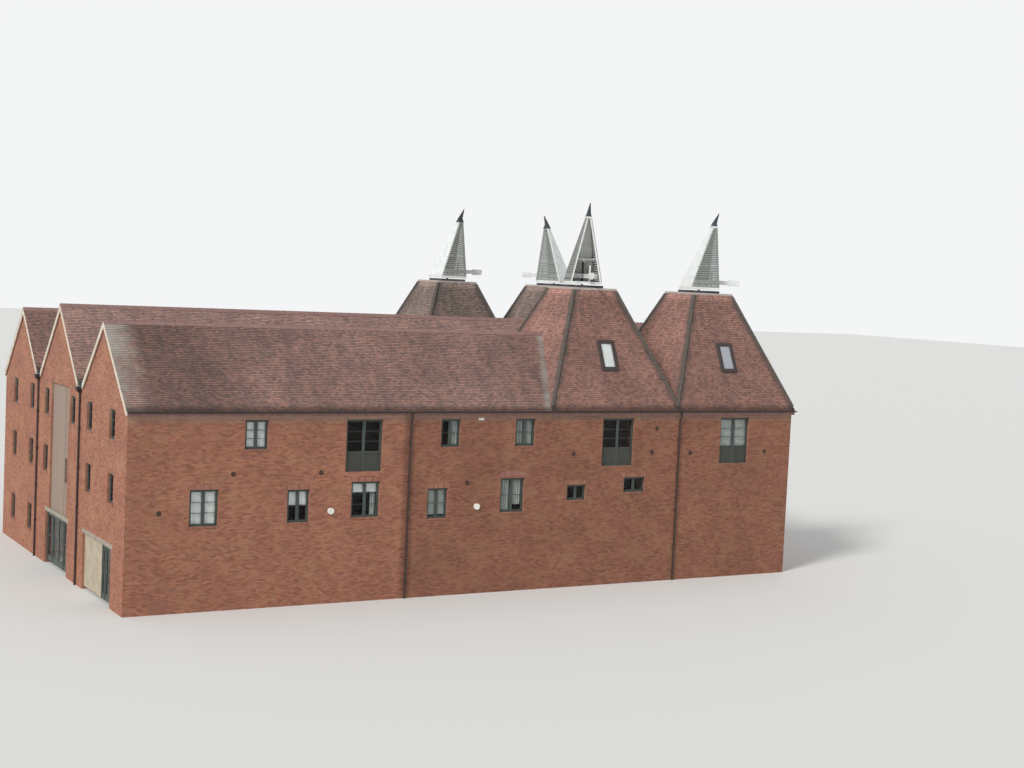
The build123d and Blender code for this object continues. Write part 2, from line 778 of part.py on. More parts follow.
pair_start = (depth - door_meeting_gap) / 2 - door_pair_leaf
pair_end = (depth + door_meeting_gap) / 2 + door_pair_leaf
near_post = pair_start - door_gap - door_bar
far_post = pair_end + door_gap
middle_frame = door_frame(middle_opening_start, middle_opening_end, [near_post, far_post])
near_light, near_pane = glazed_leaf(middle_opening_start + door_bar, near_post, ground_slab,
                                    door_head - door_bar)
far_light, far_pane = glazed_leaf(far_post + door_bar, middle_opening_end - door_bar, ground_slab,
                                  door_head - door_bar)
near_hinge_y = pair_start - door_gap / 2
far_hinge_y = pair_end + door_gap / 2
save_door("middle_door_near", near_hinge_y, 1, door_pair_leaf)
save_door("middle_door_far", far_hinge_y, -1, door_pair_leaf)
front_frame = hung_on(front_frame + front_sidelight, front_hinge_y, 1)
middle_frame = hung_on(middle_frame + near_light + far_light, near_hinge_y, 1)
middle_frame = hung_on(middle_frame, far_hinge_y, -1)
save("door_frames", front_frame, middle_frame)
save("side_light_glass", front_side_pane, near_pane, far_pane)

# Tie plates and lamps on the front wall

facing = Rot(90, 0, 0)
plate = facing * Cylinder(tie_plate_radius, tie_plate_thickness,
                          align=(Align.CENTER, Align.CENTER, Align.MIN))
lamp = facing * Cylinder(lamp_radius, lamp_thickness, align=(Align.CENTER, Align.CENTER, Align.MIN))
save("tie_plates", *[Pos(x, 0, z) * plate for x, z in tie_plates])
save("wall_lamps", *[Pos(x, 0, z) * lamp for x, z in lamps])
cover = block(-vent_width / 2, vent_width / 2, -vent_thickness, 0, 0, vent_height)
for i in range(vent_slots):
    slot = (i + 0.5) * vent_height / vent_slots
    cover -= block(-vent_width / 2 + vent_thickness, vent_width / 2 - vent_thickness,
                   -vent_thickness, -vent_thickness / 2, slot - vent_height / 12, slot + vent_height / 12)
save("wall_vent", Pos(vent[0], 0, vent[1]) * cover)

# Kiln curbs, cowl posts and cowls

kiln_centres = {"front_left": (kiln_x[0] + kiln_size / 2, kiln_size / 2),
                "front_right": (kiln_x[1] + kiln_size / 2, kiln_size / 2),
                "rear_left": (kiln_x[0] + kiln_size / 2, depth - kiln_size / 2),
                "rear_right": (kiln_x[1] + kiln_size / 2, depth - kiln_size / 2)}
throat = kiln_top - 2 * kiln_run


def square_ring(outer, inner, z0, z1):
    """A square ring about the middle of a kiln."""
    ring = block(-outer / 2, outer / 2, -outer / 2, outer / 2, z0, z1)
    return ring - block(-inner / 2, inner / 2, -inner / 2, inner / 2, z0 - curb_height, z1 + curb_height)


def curb():
    """The timber curb round a kiln's throat, with its upstand."""
    outer = kiln_top + 2 * curb_overhang
    low = square_ring(outer, upstand_size, 0, curb_height)
    high = square_ring(upstand_size, upstand_size - 2 * upstand_thickness, 0, upstand_height)
    return low + high


def cowl_stand():
    """A cross beam between the upstand's sides, with the post a cowl turns on."""
    half = upstand_size / 2 - upstand_thickness
    beam = block(-half, half, -cross_beam_width / 2, cross_beam_width / 2,
                 upstand_height - cross_beam_height, upstand_height)
    post = Pos(0, 0, upstand_height) * Cylinder(spindle_radius, spindle_height - upstand_height,
                                                align=(Align.CENTER, Align.CENTER, Align.MIN))
    return beam + post


def on_kilns(shape):
    """Copies of a piece over the middle of each kiln."""
    return [Pos(x, y, kiln_head) * shape for x, y in kiln_centres.values()]


save("kiln_curbs", *on_kilns(curb()))
save("cowl_posts", *on_kilns(cowl_stand()))

half_base = cowl_size / 2
half_top = cowl_top_size / 2
shell_base = cowl_base_height


def at_height(z):
    """Back, front and side reach of the cowl's outer faces at a height."""
    share = (z - shell_base) / (cowl_height - shell_base)
    side = half_base + (half_top - half_base) * share
    return half_base - 2 * side, half_base, side


def leaning(edges):
    """A board from the cowl's base to its head; edges(z) gives its x and y limits at a height."""
    return tapered(edges(shell_base), edges(cowl_height), shell_base, cowl_height)


def back_board():
    """The boarded back, which leans forward over the open front."""
    return leaning(lambda z: (at_height(z)[0], at_height(z)[0] + cowl_board,
                              -at_height(z)[2], at_height(z)[2]))


def side_stile(hand, at_back):
    """An upright board at the back or front edge of a louvred side."""
    def edges(z):
        back, front, side = at_height(z)
        start = back if at_back else front - cowl_stile
        y = sorted([hand * side, hand * (side - cowl_board)])
        return start, start + cowl_stile, y[0], y[1]
    return leaning(edges)


def side_slat(hand, z):
    """One louvre slat, sloping down to the outside, let into the stiles."""
    back, front, _ = at_height(z)
    corners = [(cowl_board, z), (0, z - slat_drop), (0, z - slat_drop - slat_thickness),
               (cowl_board, z - slat_thickness)]
    points = [(hand * (at_height(low)[2] - inset), low) for inset, low in corners]
    return along_x(points, back + cowl_stile / 2, front - cowl_stile / 2)


def side_rail(hand, z0, z1):
    """A flat rail in a louvred side, where a timber inside the cowl meets it."""
    x0, front, side = at_height((z0 + z1) / 2)
    def edges(z):
        y = sorted([hand * at_height(z)[2], hand * (at_height(z)[2] - cowl_board)])
        return x0 + cowl_stile / 2, front - cowl_stile / 2, y[0], y[1]
    return tapered(edges(z0), edges(z1), z0, z1)


hub_top = spindle_height - cowl_lift + spindle_end_gap + hub_height / 2
rails = [(shell_base, shell_base + cowl_stile), (vane_height - vane_arm_height, vane_height),
         (hub_top - hub_rail_height, hub_top), (cowl_height - cowl_stile, cowl_height)]


def cowl_shell():
    """The boarded back with a louvred panel on each side, open to the front."""
    body = back_board()
    for hand in (1, -1):
        for at_back in (True, False):
            body += side_stile(hand, at_back)
        for z0, z1 in rails:
            body += side_rail(hand, z0, z1)
        z = shell_base + cowl_stile + slat_pitch
        while z < cowl_height - cowl_stile:
            if all(z <= z0 or z - slat_drop - slat_thickness >= z1 for z0, z1 in rails):
                body += side_slat(hand, z)
            z += slat_pitch
    return body


def front_upright(hand):
    """One of the two posts at the open front."""
    def edges(z):
        _, front, side = at_height(z)
        inner = side - cowl_board
        y = sorted([hand * inner, hand * (inner - min(cowl_post, side / 2))])
        return front - cowl_post, front, y[0], y[1]
    return leaning(edges)


def cross_rail(x0, x1, z0, z1, reach):
    """A rail from side to side, trimmed to the inner faces of the boards."""
    def edges(z):
        back, front, side = at_height(z)
        return back + cowl_board, front, -side + cowl_board, side - cowl_board
    return block(x0, x1, -reach, reach, z0, z1) & leaning(edges)


def cowl_vane():
    """The arm that reaches out of the open front, with its round-ended board."""
    arm = block(vane_root, vane_reach - vane_board_length / 2, -vane_arm_width / 2, vane_arm_width / 2,
                vane_height - vane_arm_height, vane_height)
    centre = vane_reach - vane_board_length / 2
    face = Plane.XZ * RectangleRounded(vane_board_length, vane_board_height, vane_board_round)
    board = Pos(centre, vane_board_thickness / 2, vane_height - vane_arm_height / 2) * extrude(
        face, amount=vane_board_thickness)
    return arm + board


def cowl_frame():
    """Turning base, front posts, hub on its rail, vane on its beam and the capped head."""
    base = block(-half_base, half_base, -half_base, half_base, 0, cowl_base_height)
    hollow = half_base - cowl_base_width
    base -= block(-hollow, hollow, -hollow, hollow, -cowl_base_height, 2 * cowl_base_height)
    hub = Pos(0, 0, hub_top) * Cylinder(hub_radius, hub_height,
                                        align=(Align.CENTER, Align.CENTER, Align.MAX))
    rail = cross_rail(-cowl_post, cowl_post, hub_top - hub_rail_height, hub_top, half_base)
    bore = Pos(0, 0, spindle_height - cowl_lift + spindle_end_gap) * Cylinder(
        spindle_radius + spindle_play, hub_height, align=(Align.CENTER, Align.CENTER, Align.MAX))
    beam = cross_rail(vane_root, vane_root + vane_rail, vane_height - vane_arm_height,
                      vane_height, half_base)
    post_x = half_base - cowl_base_width / 2
    centre_post = block(post_x - cowl_post / 2, post_x + cowl_post / 2, post_offset - cowl_post / 2,
                        post_offset + cowl_post / 2, cowl_base_height, centre_post_height)
    back, front, side = at_height(cowl_height)
    lip = cowl_cap_overhang
    head = block(back - lip, front + lip, -side - lip, side + lip, cowl_height,
                 cowl_height + cowl_cap_block)
    uprights = front_upright(1) + front_upright(-1)
    return base + uprights + centre_post + (hub + rail - bore) + (beam + cowl_vane()) + head


def cowl_cap():
    """The leaning lead-covered spike on a cowl's head."""
    back, front, side = at_height(cowl_height)
    foot = cowl_height + cowl_cap_block
    neck = foot + cowl_cap_neck
    tip = front + cowl_cap_lean
    low = tapered((back, front, -side, side), (back + cowl_cap_step, front - cowl_cap_step / 2,
                                               -side + cowl_cap_step, side - cowl_cap_step), foot, neck)
    high = tapered((back + cowl_cap_step, front - cowl_cap_step / 2,
                    -side + cowl_cap_step, side - cowl_cap_step),
                   (tip - cowl_cap_tip, tip, -cowl_cap_tip / 2, cowl_cap_tip / 2),
                   neck, foot + cowl_cap_height)
    return low + high


cowl_parts = {"boards": cowl_shell(), "frame": cowl_frame(), "cap": cowl_cap()}
for name, (x, y) in kiln_centres.items():
    spot = Pos(x, y, kiln_head + cowl_lift) * Rot(0, 0, cowl_turns[name])
    for part, shape in cowl_parts.items():
        save(f"{name}_cowl_{part}", spot * shape)
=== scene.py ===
import bpy
import bmesh
import math
import numpy as np
from mathutils import Matrix, Vector


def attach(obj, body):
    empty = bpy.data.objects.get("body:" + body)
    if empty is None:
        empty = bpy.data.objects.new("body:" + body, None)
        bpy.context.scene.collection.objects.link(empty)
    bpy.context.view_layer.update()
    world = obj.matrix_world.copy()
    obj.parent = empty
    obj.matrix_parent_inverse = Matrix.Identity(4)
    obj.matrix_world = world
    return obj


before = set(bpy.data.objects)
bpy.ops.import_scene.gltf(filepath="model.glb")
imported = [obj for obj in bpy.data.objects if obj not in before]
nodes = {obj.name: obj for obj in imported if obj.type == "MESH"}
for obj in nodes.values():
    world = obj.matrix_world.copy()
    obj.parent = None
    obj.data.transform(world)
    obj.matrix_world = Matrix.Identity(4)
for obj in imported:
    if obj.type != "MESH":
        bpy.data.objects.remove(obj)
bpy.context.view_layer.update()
print("frame loaded:", len(nodes), "nodes")

# Metres. x runs along the front from its left corner, y in from the front face, z up.
house = {
    "length": 35.4, "depth": 22.0, "rangeLength": 20.6, "kilnSize": 7.4,
    "eave": 8.6, "overhang": 0.12, "verge": 0.06,
    "ridgeRise": 3.57, "ridgeY": 3.69, "middleRise": 4.02,
    "valleyRise": 0.63, "valleyNear": 6.79, "valleyFar": 7.57, "middleFoot": 7.34,
    "kilnRise": 5.84, "kilnInset": 2.46,
}
kilnX = [house["rangeLength"], house["rangeLength"] + house["kilnSize"]]
corner = Vector((-house["length"] / 2, -house["depth"] / 2, 0))
rng = np.random.default_rng(7)


def colour(code):  # sRGB hex to linear RGBA
    channels = [int(code[i:i + 2], 16) / 255 for i in (1, 3, 5)]
    return [c / 12.92 if c <= 0.04045 else ((c + 0.055) / 1.055) ** 2.4 for c in channels] + [1]


def addNode(tree, kind, inputs=None, **settings):  # a node as an input stands for its first output
    node = tree.nodes.new(kind)
    for name, value in settings.items():
        setattr(node, name, value)
    for key, value in (inputs or {}).items():
        if isinstance(value, bpy.types.Node):
            value = value.outputs[0]
        if isinstance(value, bpy.types.NodeSocket):
            tree.links.new(value, node.inputs[key])
        else:
            node.inputs[key].default_value = value
    return node


def newMaterial(name):
    material = bpy.data.materials.new(name)
    material.use_nodes = True
    material.node_tree.nodes.clear()
    return material, material.node_tree


def setRamp(node, stops):
    ramp = node.color_ramp
    while len(ramp.elements) < len(stops):
        ramp.elements.new(0.5)
    for element, (position, code) in zip(ramp.elements, stops):
        element.position = position
        element.color = colour(code)


def finishSurface(tree, inputs, height, depth):
    bump = addNode(tree, "ShaderNodeBump", {"Height": height, "Distance": depth, "Strength": 0.8})
    shader = addNode(tree, "ShaderNodeBsdfPrincipled", dict(inputs, Normal=bump))
    addNode(tree, "ShaderNodeOutputMaterial", {"Surface": shader})


# Bricks of 215 x 65 mm with 10 mm joints, the same in the finish and in the pieces laid over it
facing = {"length": 0.215, "height": 0.065, "joint": 0.01, "proud": 0.008, "least": 0.03,
          "soldier": 0.225, "bearing": 0.1, "sill": 0.075, "sillReach": 0.06, "soldierTop": 8.35,
          "gap": 0.004, "bedded": 0.04, "soldierOut": 0.012, "sillOut": 0.03, "sillGap": 0.002}
module = facing["length"] + facing["joint"]
course = facing["height"] + facing["joint"]

# Where the walls have weathered: dust under the eaves, the later bays, and beside the two pipes damp with
# painted shadow of the pipes
weatherAndPipeShade = {"dustFrom": 8.02, "dustTo": 8.4, "laterFrom": -4.7, "laterTo": -4.5, "pipe": -4.75,
           "pipesApart": 15.1, "shadeAndDampTo": 0.1, "clearFrom": 0.3}


# Hand-pressed stock bricks in lime mortar: rough, dull, each brick fired to its own tone.
# The pattern runs along x or y by which way the wall faces.
def stockBrick(name, tones, mortar):
    material, tree = newMaterial(name)
    place = addNode(tree, "ShaderNodeTexCoord")
    at = addNode(tree, "ShaderNodeSeparateXYZ", {0: place.outputs["Object"]})
    way = addNode(tree, "ShaderNodeSeparateXYZ", {0: place.outputs["Normal"]})
    turned = addNode(tree, "ShaderNodeMath", {0: way.outputs[0]}, operation="ABSOLUTE")
    sideWall = addNode(tree, "ShaderNodeMath", {0: turned, 1: 0.7}, operation="GREATER_THAN")
    along = addNode(tree, "ShaderNodeMix", {0: sideWall, 2: at.outputs[0], 3: at.outputs[1]})
    flat = addNode(tree, "ShaderNodeCombineXYZ", {0: along, 1: at.outputs[2]})
    bond = addNode(tree, "ShaderNodeTexBrick", {
        "Vector": flat, "Color1": (0, 0, 0, 1), "Color2": (1, 1, 1, 1), "Scale": 1,
        "Mortar Size": facing["joint"] / 2, "Mortar Smooth": 0.2, "Bias": 0, "Brick Width": module,
        "Row Height": course},
        offset=0.5)
    fired = addNode(tree, "ShaderNodeValToRGB", {0: bond.outputs["Color"]})
    setRamp(fired, tones)
    # patches of wall laid from different firings, a few metres across
    patches = addNode(tree, "ShaderNodeTexNoise", {"Vector": place.outputs["Object"], "Scale": 0.45,
                                                   "Detail": 6, "Roughness": 0.65})
    shadeOf = addNode(tree, "ShaderNodeMapRange", {0: patches, 1: 0.3, 2: 0.7, 3: 0.84, 4: 1.14})
    # areas of yellower and of pinker brick, 0.3 to 3 m across
    hues = addNode(tree, "ShaderNodeTexNoise", {"Vector": place.outputs["Object"], "Scale": 0.9, "Detail": 7,
                                                "Roughness": 0.7})
    yellow = addNode(tree, "ShaderNodeMapRange", {0: hues, 1: 0.5, 2: 0.72, 3: 0, 4: 0.75})
    pink = addNode(tree, "ShaderNodeMapRange", {0: hues, 1: 0.5, 2: 0.3, 3: 0, 4: 0.6})
    tanned = addNode(tree, "ShaderNodeMix", {0: yellow, 6: fired, 7: colour("#a27a58")}, data_type="RGBA")
    rosy = addNode(tree, "ShaderNodeMix", {0: pink, 6: tanned.outputs[2], 7: colour("#a8705f")},
                   data_type="RGBA")
    blotch = addNode(tree, "ShaderNodeTexNoise", {"Vector": flat, "Scale": 2.3, "Detail": 5})
    dark = addNode(tree, "ShaderNodeMapRange", {0: blotch, 1: 0.55, 2: 0.8, 3: 0, 4: 0.5})
    sooty = addNode(tree, "ShaderNodeMix", {0: dark, 6: rosy.outputs[2], 7: colour("#71493d")},
                    data_type="RGBA")
    # limewash and dust kept dry under the eaves of the long walls
    under = addNode(tree, "ShaderNodeMapRange", {0: at.outputs[2], 1: weatherAndPipeShade["dustFrom"],
                                                 2: weatherAndPipeShade["dustTo"], 3: 0, 4: 0.7})
    longWall = addNode(tree, "ShaderNodeMath", {0: 1, 1: sideWall}, operation="SUBTRACT")
    band = addNode(tree, "ShaderNodeMath", {0: under, 1: longWall}, operation="MULTIPLY")
    dusty = addNode(tree, "ShaderNodeMix", {0: band, 6: sooty.outputs[2], 7: colour("#b39a88")},
                    data_type="RGBA")
    pointed = addNode(tree, "ShaderNodeMix", {0: bond.outputs["Fac"], 6: dusty.outputs[2], 7: colour(mortar)},
                      data_type="RGBA")
    # the bays beyond the first downpipe were built of slightly darker brick
    later = addNode(tree, "ShaderNodeMapRange", {0: at.outputs[0], 1: weatherAndPipeShade["laterFrom"],
                                                 2: weatherAndPipeShade["laterTo"], 3: 1, 4: 0.8})
    # and the brick is darker beside both pipes: painted shadow of the pipes, with damp
    fromPipe = addNode(tree, "ShaderNodeMath", {0: at.outputs[0], 1: weatherAndPipeShade["pipe"]}, operation="SUBTRACT")
    spaced = addNode(tree, "ShaderNodeMath", {0: fromPipe, 1: weatherAndPipeShade["pipesApart"]}, operation="PINGPONG")
    damp = addNode(tree, "ShaderNodeMapRange", {0: spaced, 1: weatherAndPipeShade["shadeAndDampTo"],
                                                2: weatherAndPipeShade["clearFrom"], 3: 0.72, 4: 1})
    pipeShadeAndDamp = addNode(tree, "ShaderNodeMath", {0: damp, 1: later}, operation="MULTIPLY")
    either = addNode(tree, "ShaderNodeMix", {0: sideWall, 2: pipeShadeAndDamp, 3: 1.0})
    shaded = addNode(tree, "ShaderNodeMath", {0: shadeOf, 1: either}, operation="MULTIPLY")
    weatheredAndShaded = addNode(tree, "ShaderNodeHueSaturation", {"Value": shaded, "Color": pointed.outputs[2]})
    # sand-faced surface, grit of about 5 mm so that it still shows
    grit = addNode(tree, "ShaderNodeTexNoise", {"Vector": place.outputs["Object"], "Scale": 90, "Detail": 3})
    rough = addNode(tree, "ShaderNodeMath", {0: grit, 1: 0.35, 2: 0.65}, operation="MULTIPLY_ADD")
    proud = addNode(tree, "ShaderNodeMath", {0: rough, 1: bond.outputs["Fac"]}, operation="SUBTRACT")
    finishSurface(tree, {"Base Color": weatheredAndShaded, "Roughness": 0.92}, proud, 0.006)
    return material


# Soldier bricks over and under the openings; each brick's tone is the u of its own UV.
def gaugedBrick(name, tones):
    material, tree = newMaterial(name)
    place = addNode(tree, "ShaderNodeTexCoord")
    uv = addNode(tree, "ShaderNodeSeparateXYZ", {0: place.outputs["UV"]})
    fired = addNode(tree, "ShaderNodeValToRGB", {0: uv.outputs[0]})
    setRamp(fired, tones)
    grit = addNode(tree, "ShaderNodeTexNoise", {"Vector": place.outputs["Object"], "Scale": 60, "Detail": 4})
    tone = addNode(tree, "ShaderNodeMapRange", {0: grit, 1: 0.3, 2: 0.7, 3: 0.85, 4: 1.12})
    worn = addNode(tree, "ShaderNodeHueSaturation", {"Value": tone, "Color": fired})
    finishSurface(tree, {"Base Color": worn, "Roughness": 0.9}, grit, 0.003)
    return material


# Plain tiles, and the shift in UV that marks a slope facing the afternoon sun, painted lighter: partly
# bleached, partly painted sunlight
tiling = {"width": 0.165, "gauge": 0.1, "joint": 0.0025, "lip": 0.014, "gap": 0.003, "lift": 0.005,
          "clear": 0.006, "sag": 0.012, "past": 0.04, "under": 0.05, "shift": 40.095}


# Where the front range's tiles have aged: pale moss by its left verge and where it meets the kiln, and
# a dull stretch beside the first
def mossOfRange(tree, place, damp):
    edge = {"verge": corner.x, "reach": 1.7, "front": -3.4, "dull": (0.5, 1.3, 2.4, 7.0), "depth": -0.34,
            "kiln": kilnX[0] + corner.x - house["overhang"], "kilnFrom": 0.6, "kilnTo": 0.2,
            "lean": (house["kilnInset"] + house["overhang"]) / house["kilnRise"]}
    at = addNode(tree, "ShaderNodeSeparateXYZ", {0: place.outputs["Object"]})
    near = addNode(tree, "ShaderNodeMapRange", {0: at.outputs[0], 1: edge["verge"],
                                                2: edge["verge"] + edge["reach"], 3: 1, 4: 0})
    high = addNode(tree, "ShaderNodeMapRange", {0: at.outputs[2], 1: house["eave"],
                                                2: house["eave"] + house["ridgeRise"], 3: 0.7, 4: 1.25})
    front = addNode(tree, "ShaderNodeMath", {0: at.outputs[1], 1: edge["front"]}, operation="LESS_THAN")
    verge = addNode(tree, "ShaderNodeMath", {0: near, 1: front}, operation="MULTIPLY")
    strong = addNode(tree, "ShaderNodeMath", {0: verge, 1: high}, operation="MULTIPLY")
    run = addNode(tree, "ShaderNodeMath", {0: at.outputs[2], 1: -edge["lean"], 2: at.outputs[0]},
                  operation="MULTIPLY_ADD")
    line = edge["kiln"] - edge["lean"] * house["eave"]
    beside = addNode(tree, "ShaderNodeMapRange", {0: run, 1: line - edge["kilnFrom"],
                                                  2: line - edge["kilnTo"], 3: 0, 4: 1})
    meeting = addNode(tree, "ShaderNodeMath", {0: beside, 1: front}, operation="MULTIPLY")
    both = addNode(tree, "ShaderNodeMath", {0: strong, 1: meeting}, operation="MAXIMUM")
    grown = addNode(tree, "ShaderNodeMath", {0: both, 1: damp}, operation="MULTIPLY")
    moss = addNode(tree, "ShaderNodeMapRange", {0: grown, 1: 0.15, 2: 0.6, 3: 0, 4: 0.9})
    first, second, third, last = [edge["verge"] + reach for reach in edge["dull"]]
    into = addNode(tree, "ShaderNodeMapRange", {0: at.outputs[0], 1: first, 2: second, 3: 0, 4: 1})
    out = addNode(tree, "ShaderNodeMapRange", {0: at.outputs[0], 1: third, 2: last, 3: 1, 4: 0})
    stretch = addNode(tree, "ShaderNodeMath", {0: into, 1: out}, operation="MULTIPLY")
    ofFront = addNode(tree, "ShaderNodeMath", {0: stretch, 1: front}, operation="MULTIPLY")
    return moss, addNode(tree, "ShaderNodeMath", {0: ofFront, 1: edge["depth"], 2: 1},
                         operation="MULTIPLY_ADD")


# A kiln's tiles are dark where rain runs down beside the hips.
def stainOfKiln(tree, place, damp):
    stained = {"dark": 0.1, "clean": 0.5, "limeFrom": 0.4, "limeTo": 0.15}
    width = house["kilnSize"] + 2 * house["overhang"]
    inset = house["kilnInset"] + house["overhang"]
    taper = inset / math.hypot(inset, house["kilnRise"])
    at = addNode(tree, "ShaderNodeSeparateXYZ", {0: place.outputs["UV"]})
    own = addNode(tree, "ShaderNodeMath", {0: at.outputs[0], 1: tiling["shift"]}, operation="MODULO")
    far = addNode(tree, "ShaderNodeMath", {0: width, 1: own}, operation="SUBTRACT")
    near = addNode(tree, "ShaderNodeMath", {0: own, 1: far}, operation="MINIMUM")
    off = addNode(tree, "ShaderNodeMath", {0: at.outputs[1], 1: -taper, 2: near}, operation="MULTIPLY_ADD")
    wet = addNode(tree, "ShaderNodeMapRange", {0: off, 1: stained["dark"], 2: stained["clean"], 3: 1, 4: 0})
    grown = addNode(tree, "ShaderNodeMath", {0: wet, 1: damp}, operation="MULTIPLY")
    stain = addNode(tree, "ShaderNodeMapRange", {0: grown, 1: 0.1, 2: 0.55, 3: 0, 4: 0.85})
    # the courses under the curb are whitened with lime
    up = math.hypot(inset, house["kilnRise"])
    return stain, addNode(tree, "ShaderNodeMapRange", {0: at.outputs[1], 1: up - stained["limeFrom"],
                                                       2: up - stained["limeTo"], 3: 1, 4: 1.45})


# Weathered plain clay tiles, 165 mm wide at 100 mm gauge, laid out on each slope's own UV in metres.
def clayTiles(name, tones, stain, ageing, aged):
    material, tree = newMaterial(name)
    place = addNode(tree, "ShaderNodeTexCoord")
    lap = addNode(tree, "ShaderNodeTexBrick", {
        "Vector": place.outputs["UV"], "Color1": (0, 0, 0, 1), "Color2": (1, 1, 1, 1), "Scale": 1,
        "Mortar Size": tiling["joint"], "Mortar Smooth": 0.5, "Bias": 0, "Brick Width": tiling["width"],
        "Row Height": tiling["gauge"]},
        offset=0.5)
    fired = addNode(tree, "ShaderNodeValToRGB", {0: lap.outputs["Color"]})
    setRamp(fired, tones)
    # rain streaks run down the slope, so the noise is stretched five times along v
    long = addNode(tree, "ShaderNodeMapping", {"Vector": place.outputs["UV"], "Scale": (1.1, 0.22, 1)})
    streaks = addNode(tree, "ShaderNodeTexNoise", {"Vector": long, "Scale": 1.4, "Detail": 7,
                                                   "Roughness": 0.62})
    wet = addNode(tree, "ShaderNodeMapRange", {0: streaks, 1: 0.44, 2: 0.7, 3: 0, 4: 0.65})
    stained = addNode(tree, "ShaderNodeMix", {0: wet, 6: fired, 7: colour(stain)}, data_type="RGBA")
    patches = addNode(tree, "ShaderNodeTexNoise", {"Vector": place.outputs["Object"], "Scale": 0.4,
                                                   "Detail": 5, "Roughness": 0.6})
    shadeOf = addNode(tree, "ShaderNodeMapRange", {0: patches, 1: 0.3, 2: 0.7, 3: 0.82, 4: 1.18})
    # pale lichen rosettes, 30 to 80 mm across
    spots = addNode(tree, "ShaderNodeTexNoise", {"Vector": place.outputs["Object"], "Scale": 11, "Detail": 3})
    lichen = addNode(tree, "ShaderNodeMapRange", {0: spots, 1: 0.63, 2: 0.69, 3: 0, 4: 0.55})
    spotted = addNode(tree, "ShaderNodeMix", {0: lichen, 6: stained.outputs[2],
                                              7: colour("#a39c8f")}, data_type="RGBA")
    damp = addNode(tree, "ShaderNodeTexNoise", {"Vector": place.outputs["Object"], "Scale": 1.7, "Detail": 6})
    growth, dullness = ageing(tree, place, damp)
    mossy = addNode(tree, "ShaderNodeMix", {0: growth, 6: spotted.outputs[2], 7: colour(aged)},
                    data_type="RGBA")
    joint = addNode(tree, "ShaderNodeMath", {0: lap.outputs["Fac"], 1: 0.45}, operation="MULTIPLY")
    lined = addNode(tree, "ShaderNodeMix", {0: joint, 6: mossy.outputs[2], 7: colour("#35282a")},
                    data_type="RGBA")
    # slopes laid with their UV moved on by the shift look to the afternoon sun and are made lighter: partly
    # bleaching, partly painted sunlight
    at = addNode(tree, "ShaderNodeSeparateXYZ", {0: place.outputs["UV"]})
    sunny = addNode(tree, "ShaderNodeMath", {0: at.outputs[0], 1: tiling["shift"] - 1},
                    operation="GREATER_THAN")
    sunLitAndBleached = addNode(tree, "ShaderNodeMath", {0: sunny, 1: 0.26, 2: 1}, operation="MULTIPLY_ADD")
    lit = addNode(tree, "ShaderNodeMath", {0: shadeOf, 1: sunLitAndBleached}, operation="MULTIPLY")
    aired = addNode(tree, "ShaderNodeMath", {0: lit, 1: dullness}, operation="MULTIPLY")
    # the lowest three courses are darker over the gutter: painted shade of the eaves, with wet dirt
    foot = addNode(tree, "ShaderNodeMapRange", {0: at.outputs[1], 1: 0.12, 2: 0.38, 3: 0.42, 4: 1})
    value = addNode(tree, "ShaderNodeMath", {0: aired, 1: foot}, operation="MULTIPLY")
    weatheredAndShaded = addNode(tree, "ShaderNodeHueSaturation", {"Value": value.outputs[0],
                                                          "Color": lined.outputs[2]})
    grain = addNode(tree, "ShaderNodeTexNoise", {"Vector": place.outputs["Object"], "Scale": 70, "Detail": 4})
    finishSurface(tree, {"Base Color": weatheredAndShaded, "Roughness": 0.88}, grain, 0.004)
    return material


# Painted, cast or sheet surfaces with dirt: a main tone, a worn tone and the size of the mottle.
def coated(name, main, worn, roughness, mottle, depth, metallic=0.0, stretch=(1, 1, 1)):
    material, tree = newMaterial(name)
    place = addNode(tree, "ShaderNodeTexCoord")
    run = addNode(tree, "ShaderNodeMapping", {"Vector": place.outputs["Object"], "Scale": stretch})
    dirt = addNode(tree, "ShaderNodeTexNoise", {"Vector": run, "Scale": mottle, "Detail": 6,
                                                "Roughness": 0.6})
    wear = addNode(tree, "ShaderNodeMapRange", {0: dirt, 1: 0.42, 2: 0.72, 3: 0, 4: 1})
    tone = addNode(tree, "ShaderNodeMix", {0: wear, 6: colour(main), 7: colour(worn)}, data_type="RGBA")
    finishSurface(tree, {"Base Color": tone.outputs[2], "Roughness": roughness, "Metallic": metallic},
                  dirt, depth)
    return material


# Sawn softwood boards laid side by side, 150 or 180 mm wide, with a dark gap at each joint.
def boarded(name, main, worn, gap, width, axis):
    material, tree = newMaterial(name)
    place = addNode(tree, "ShaderNodeTexCoord")
    at = addNode(tree, "ShaderNodeSeparateXYZ", {0: place.outputs["Object"]})
    step = addNode(tree, "ShaderNodeMath", {0: at.outputs[axis], 1: width}, operation="DIVIDE")
    part = addNode(tree, "ShaderNodeMath", {0: step}, operation="FRACT")
    joint = addNode(tree, "ShaderNodeMath", {0: part, 1: 0.07}, operation="LESS_THAN")
    board = addNode(tree, "ShaderNodeMath", {0: step}, operation="FLOOR")
    own = addNode(tree, "ShaderNodeTexWhiteNoise", {"W": board}, noise_dimensions="1D")
    grain = addNode(tree, "ShaderNodeMapping", {"Vector": place.outputs["Object"], "Scale": (14, 14, 1.2)})
    fibre = addNode(tree, "ShaderNodeTexNoise", {"Vector": grain, "Scale": 3, "Detail": 6})
    mixOf = addNode(tree, "ShaderNodeMath", {0: own, 1: fibre}, operation="MULTIPLY")
    tone = addNode(tree, "ShaderNodeMix", {0: mixOf, 6: colour(main), 7: colour(worn)}, data_type="RGBA")
    lined = addNode(tree, "ShaderNodeMix", {0: joint, 6: tone.outputs[2], 7: colour(gap)}, data_type="RGBA")
    lower = addNode(tree, "ShaderNodeMath", {0: fibre, 1: joint}, operation="SUBTRACT")
    finishSurface(tree, {"Base Color": lined.outputs[2], "Roughness": 0.75}, lower, 0.006)
    return material
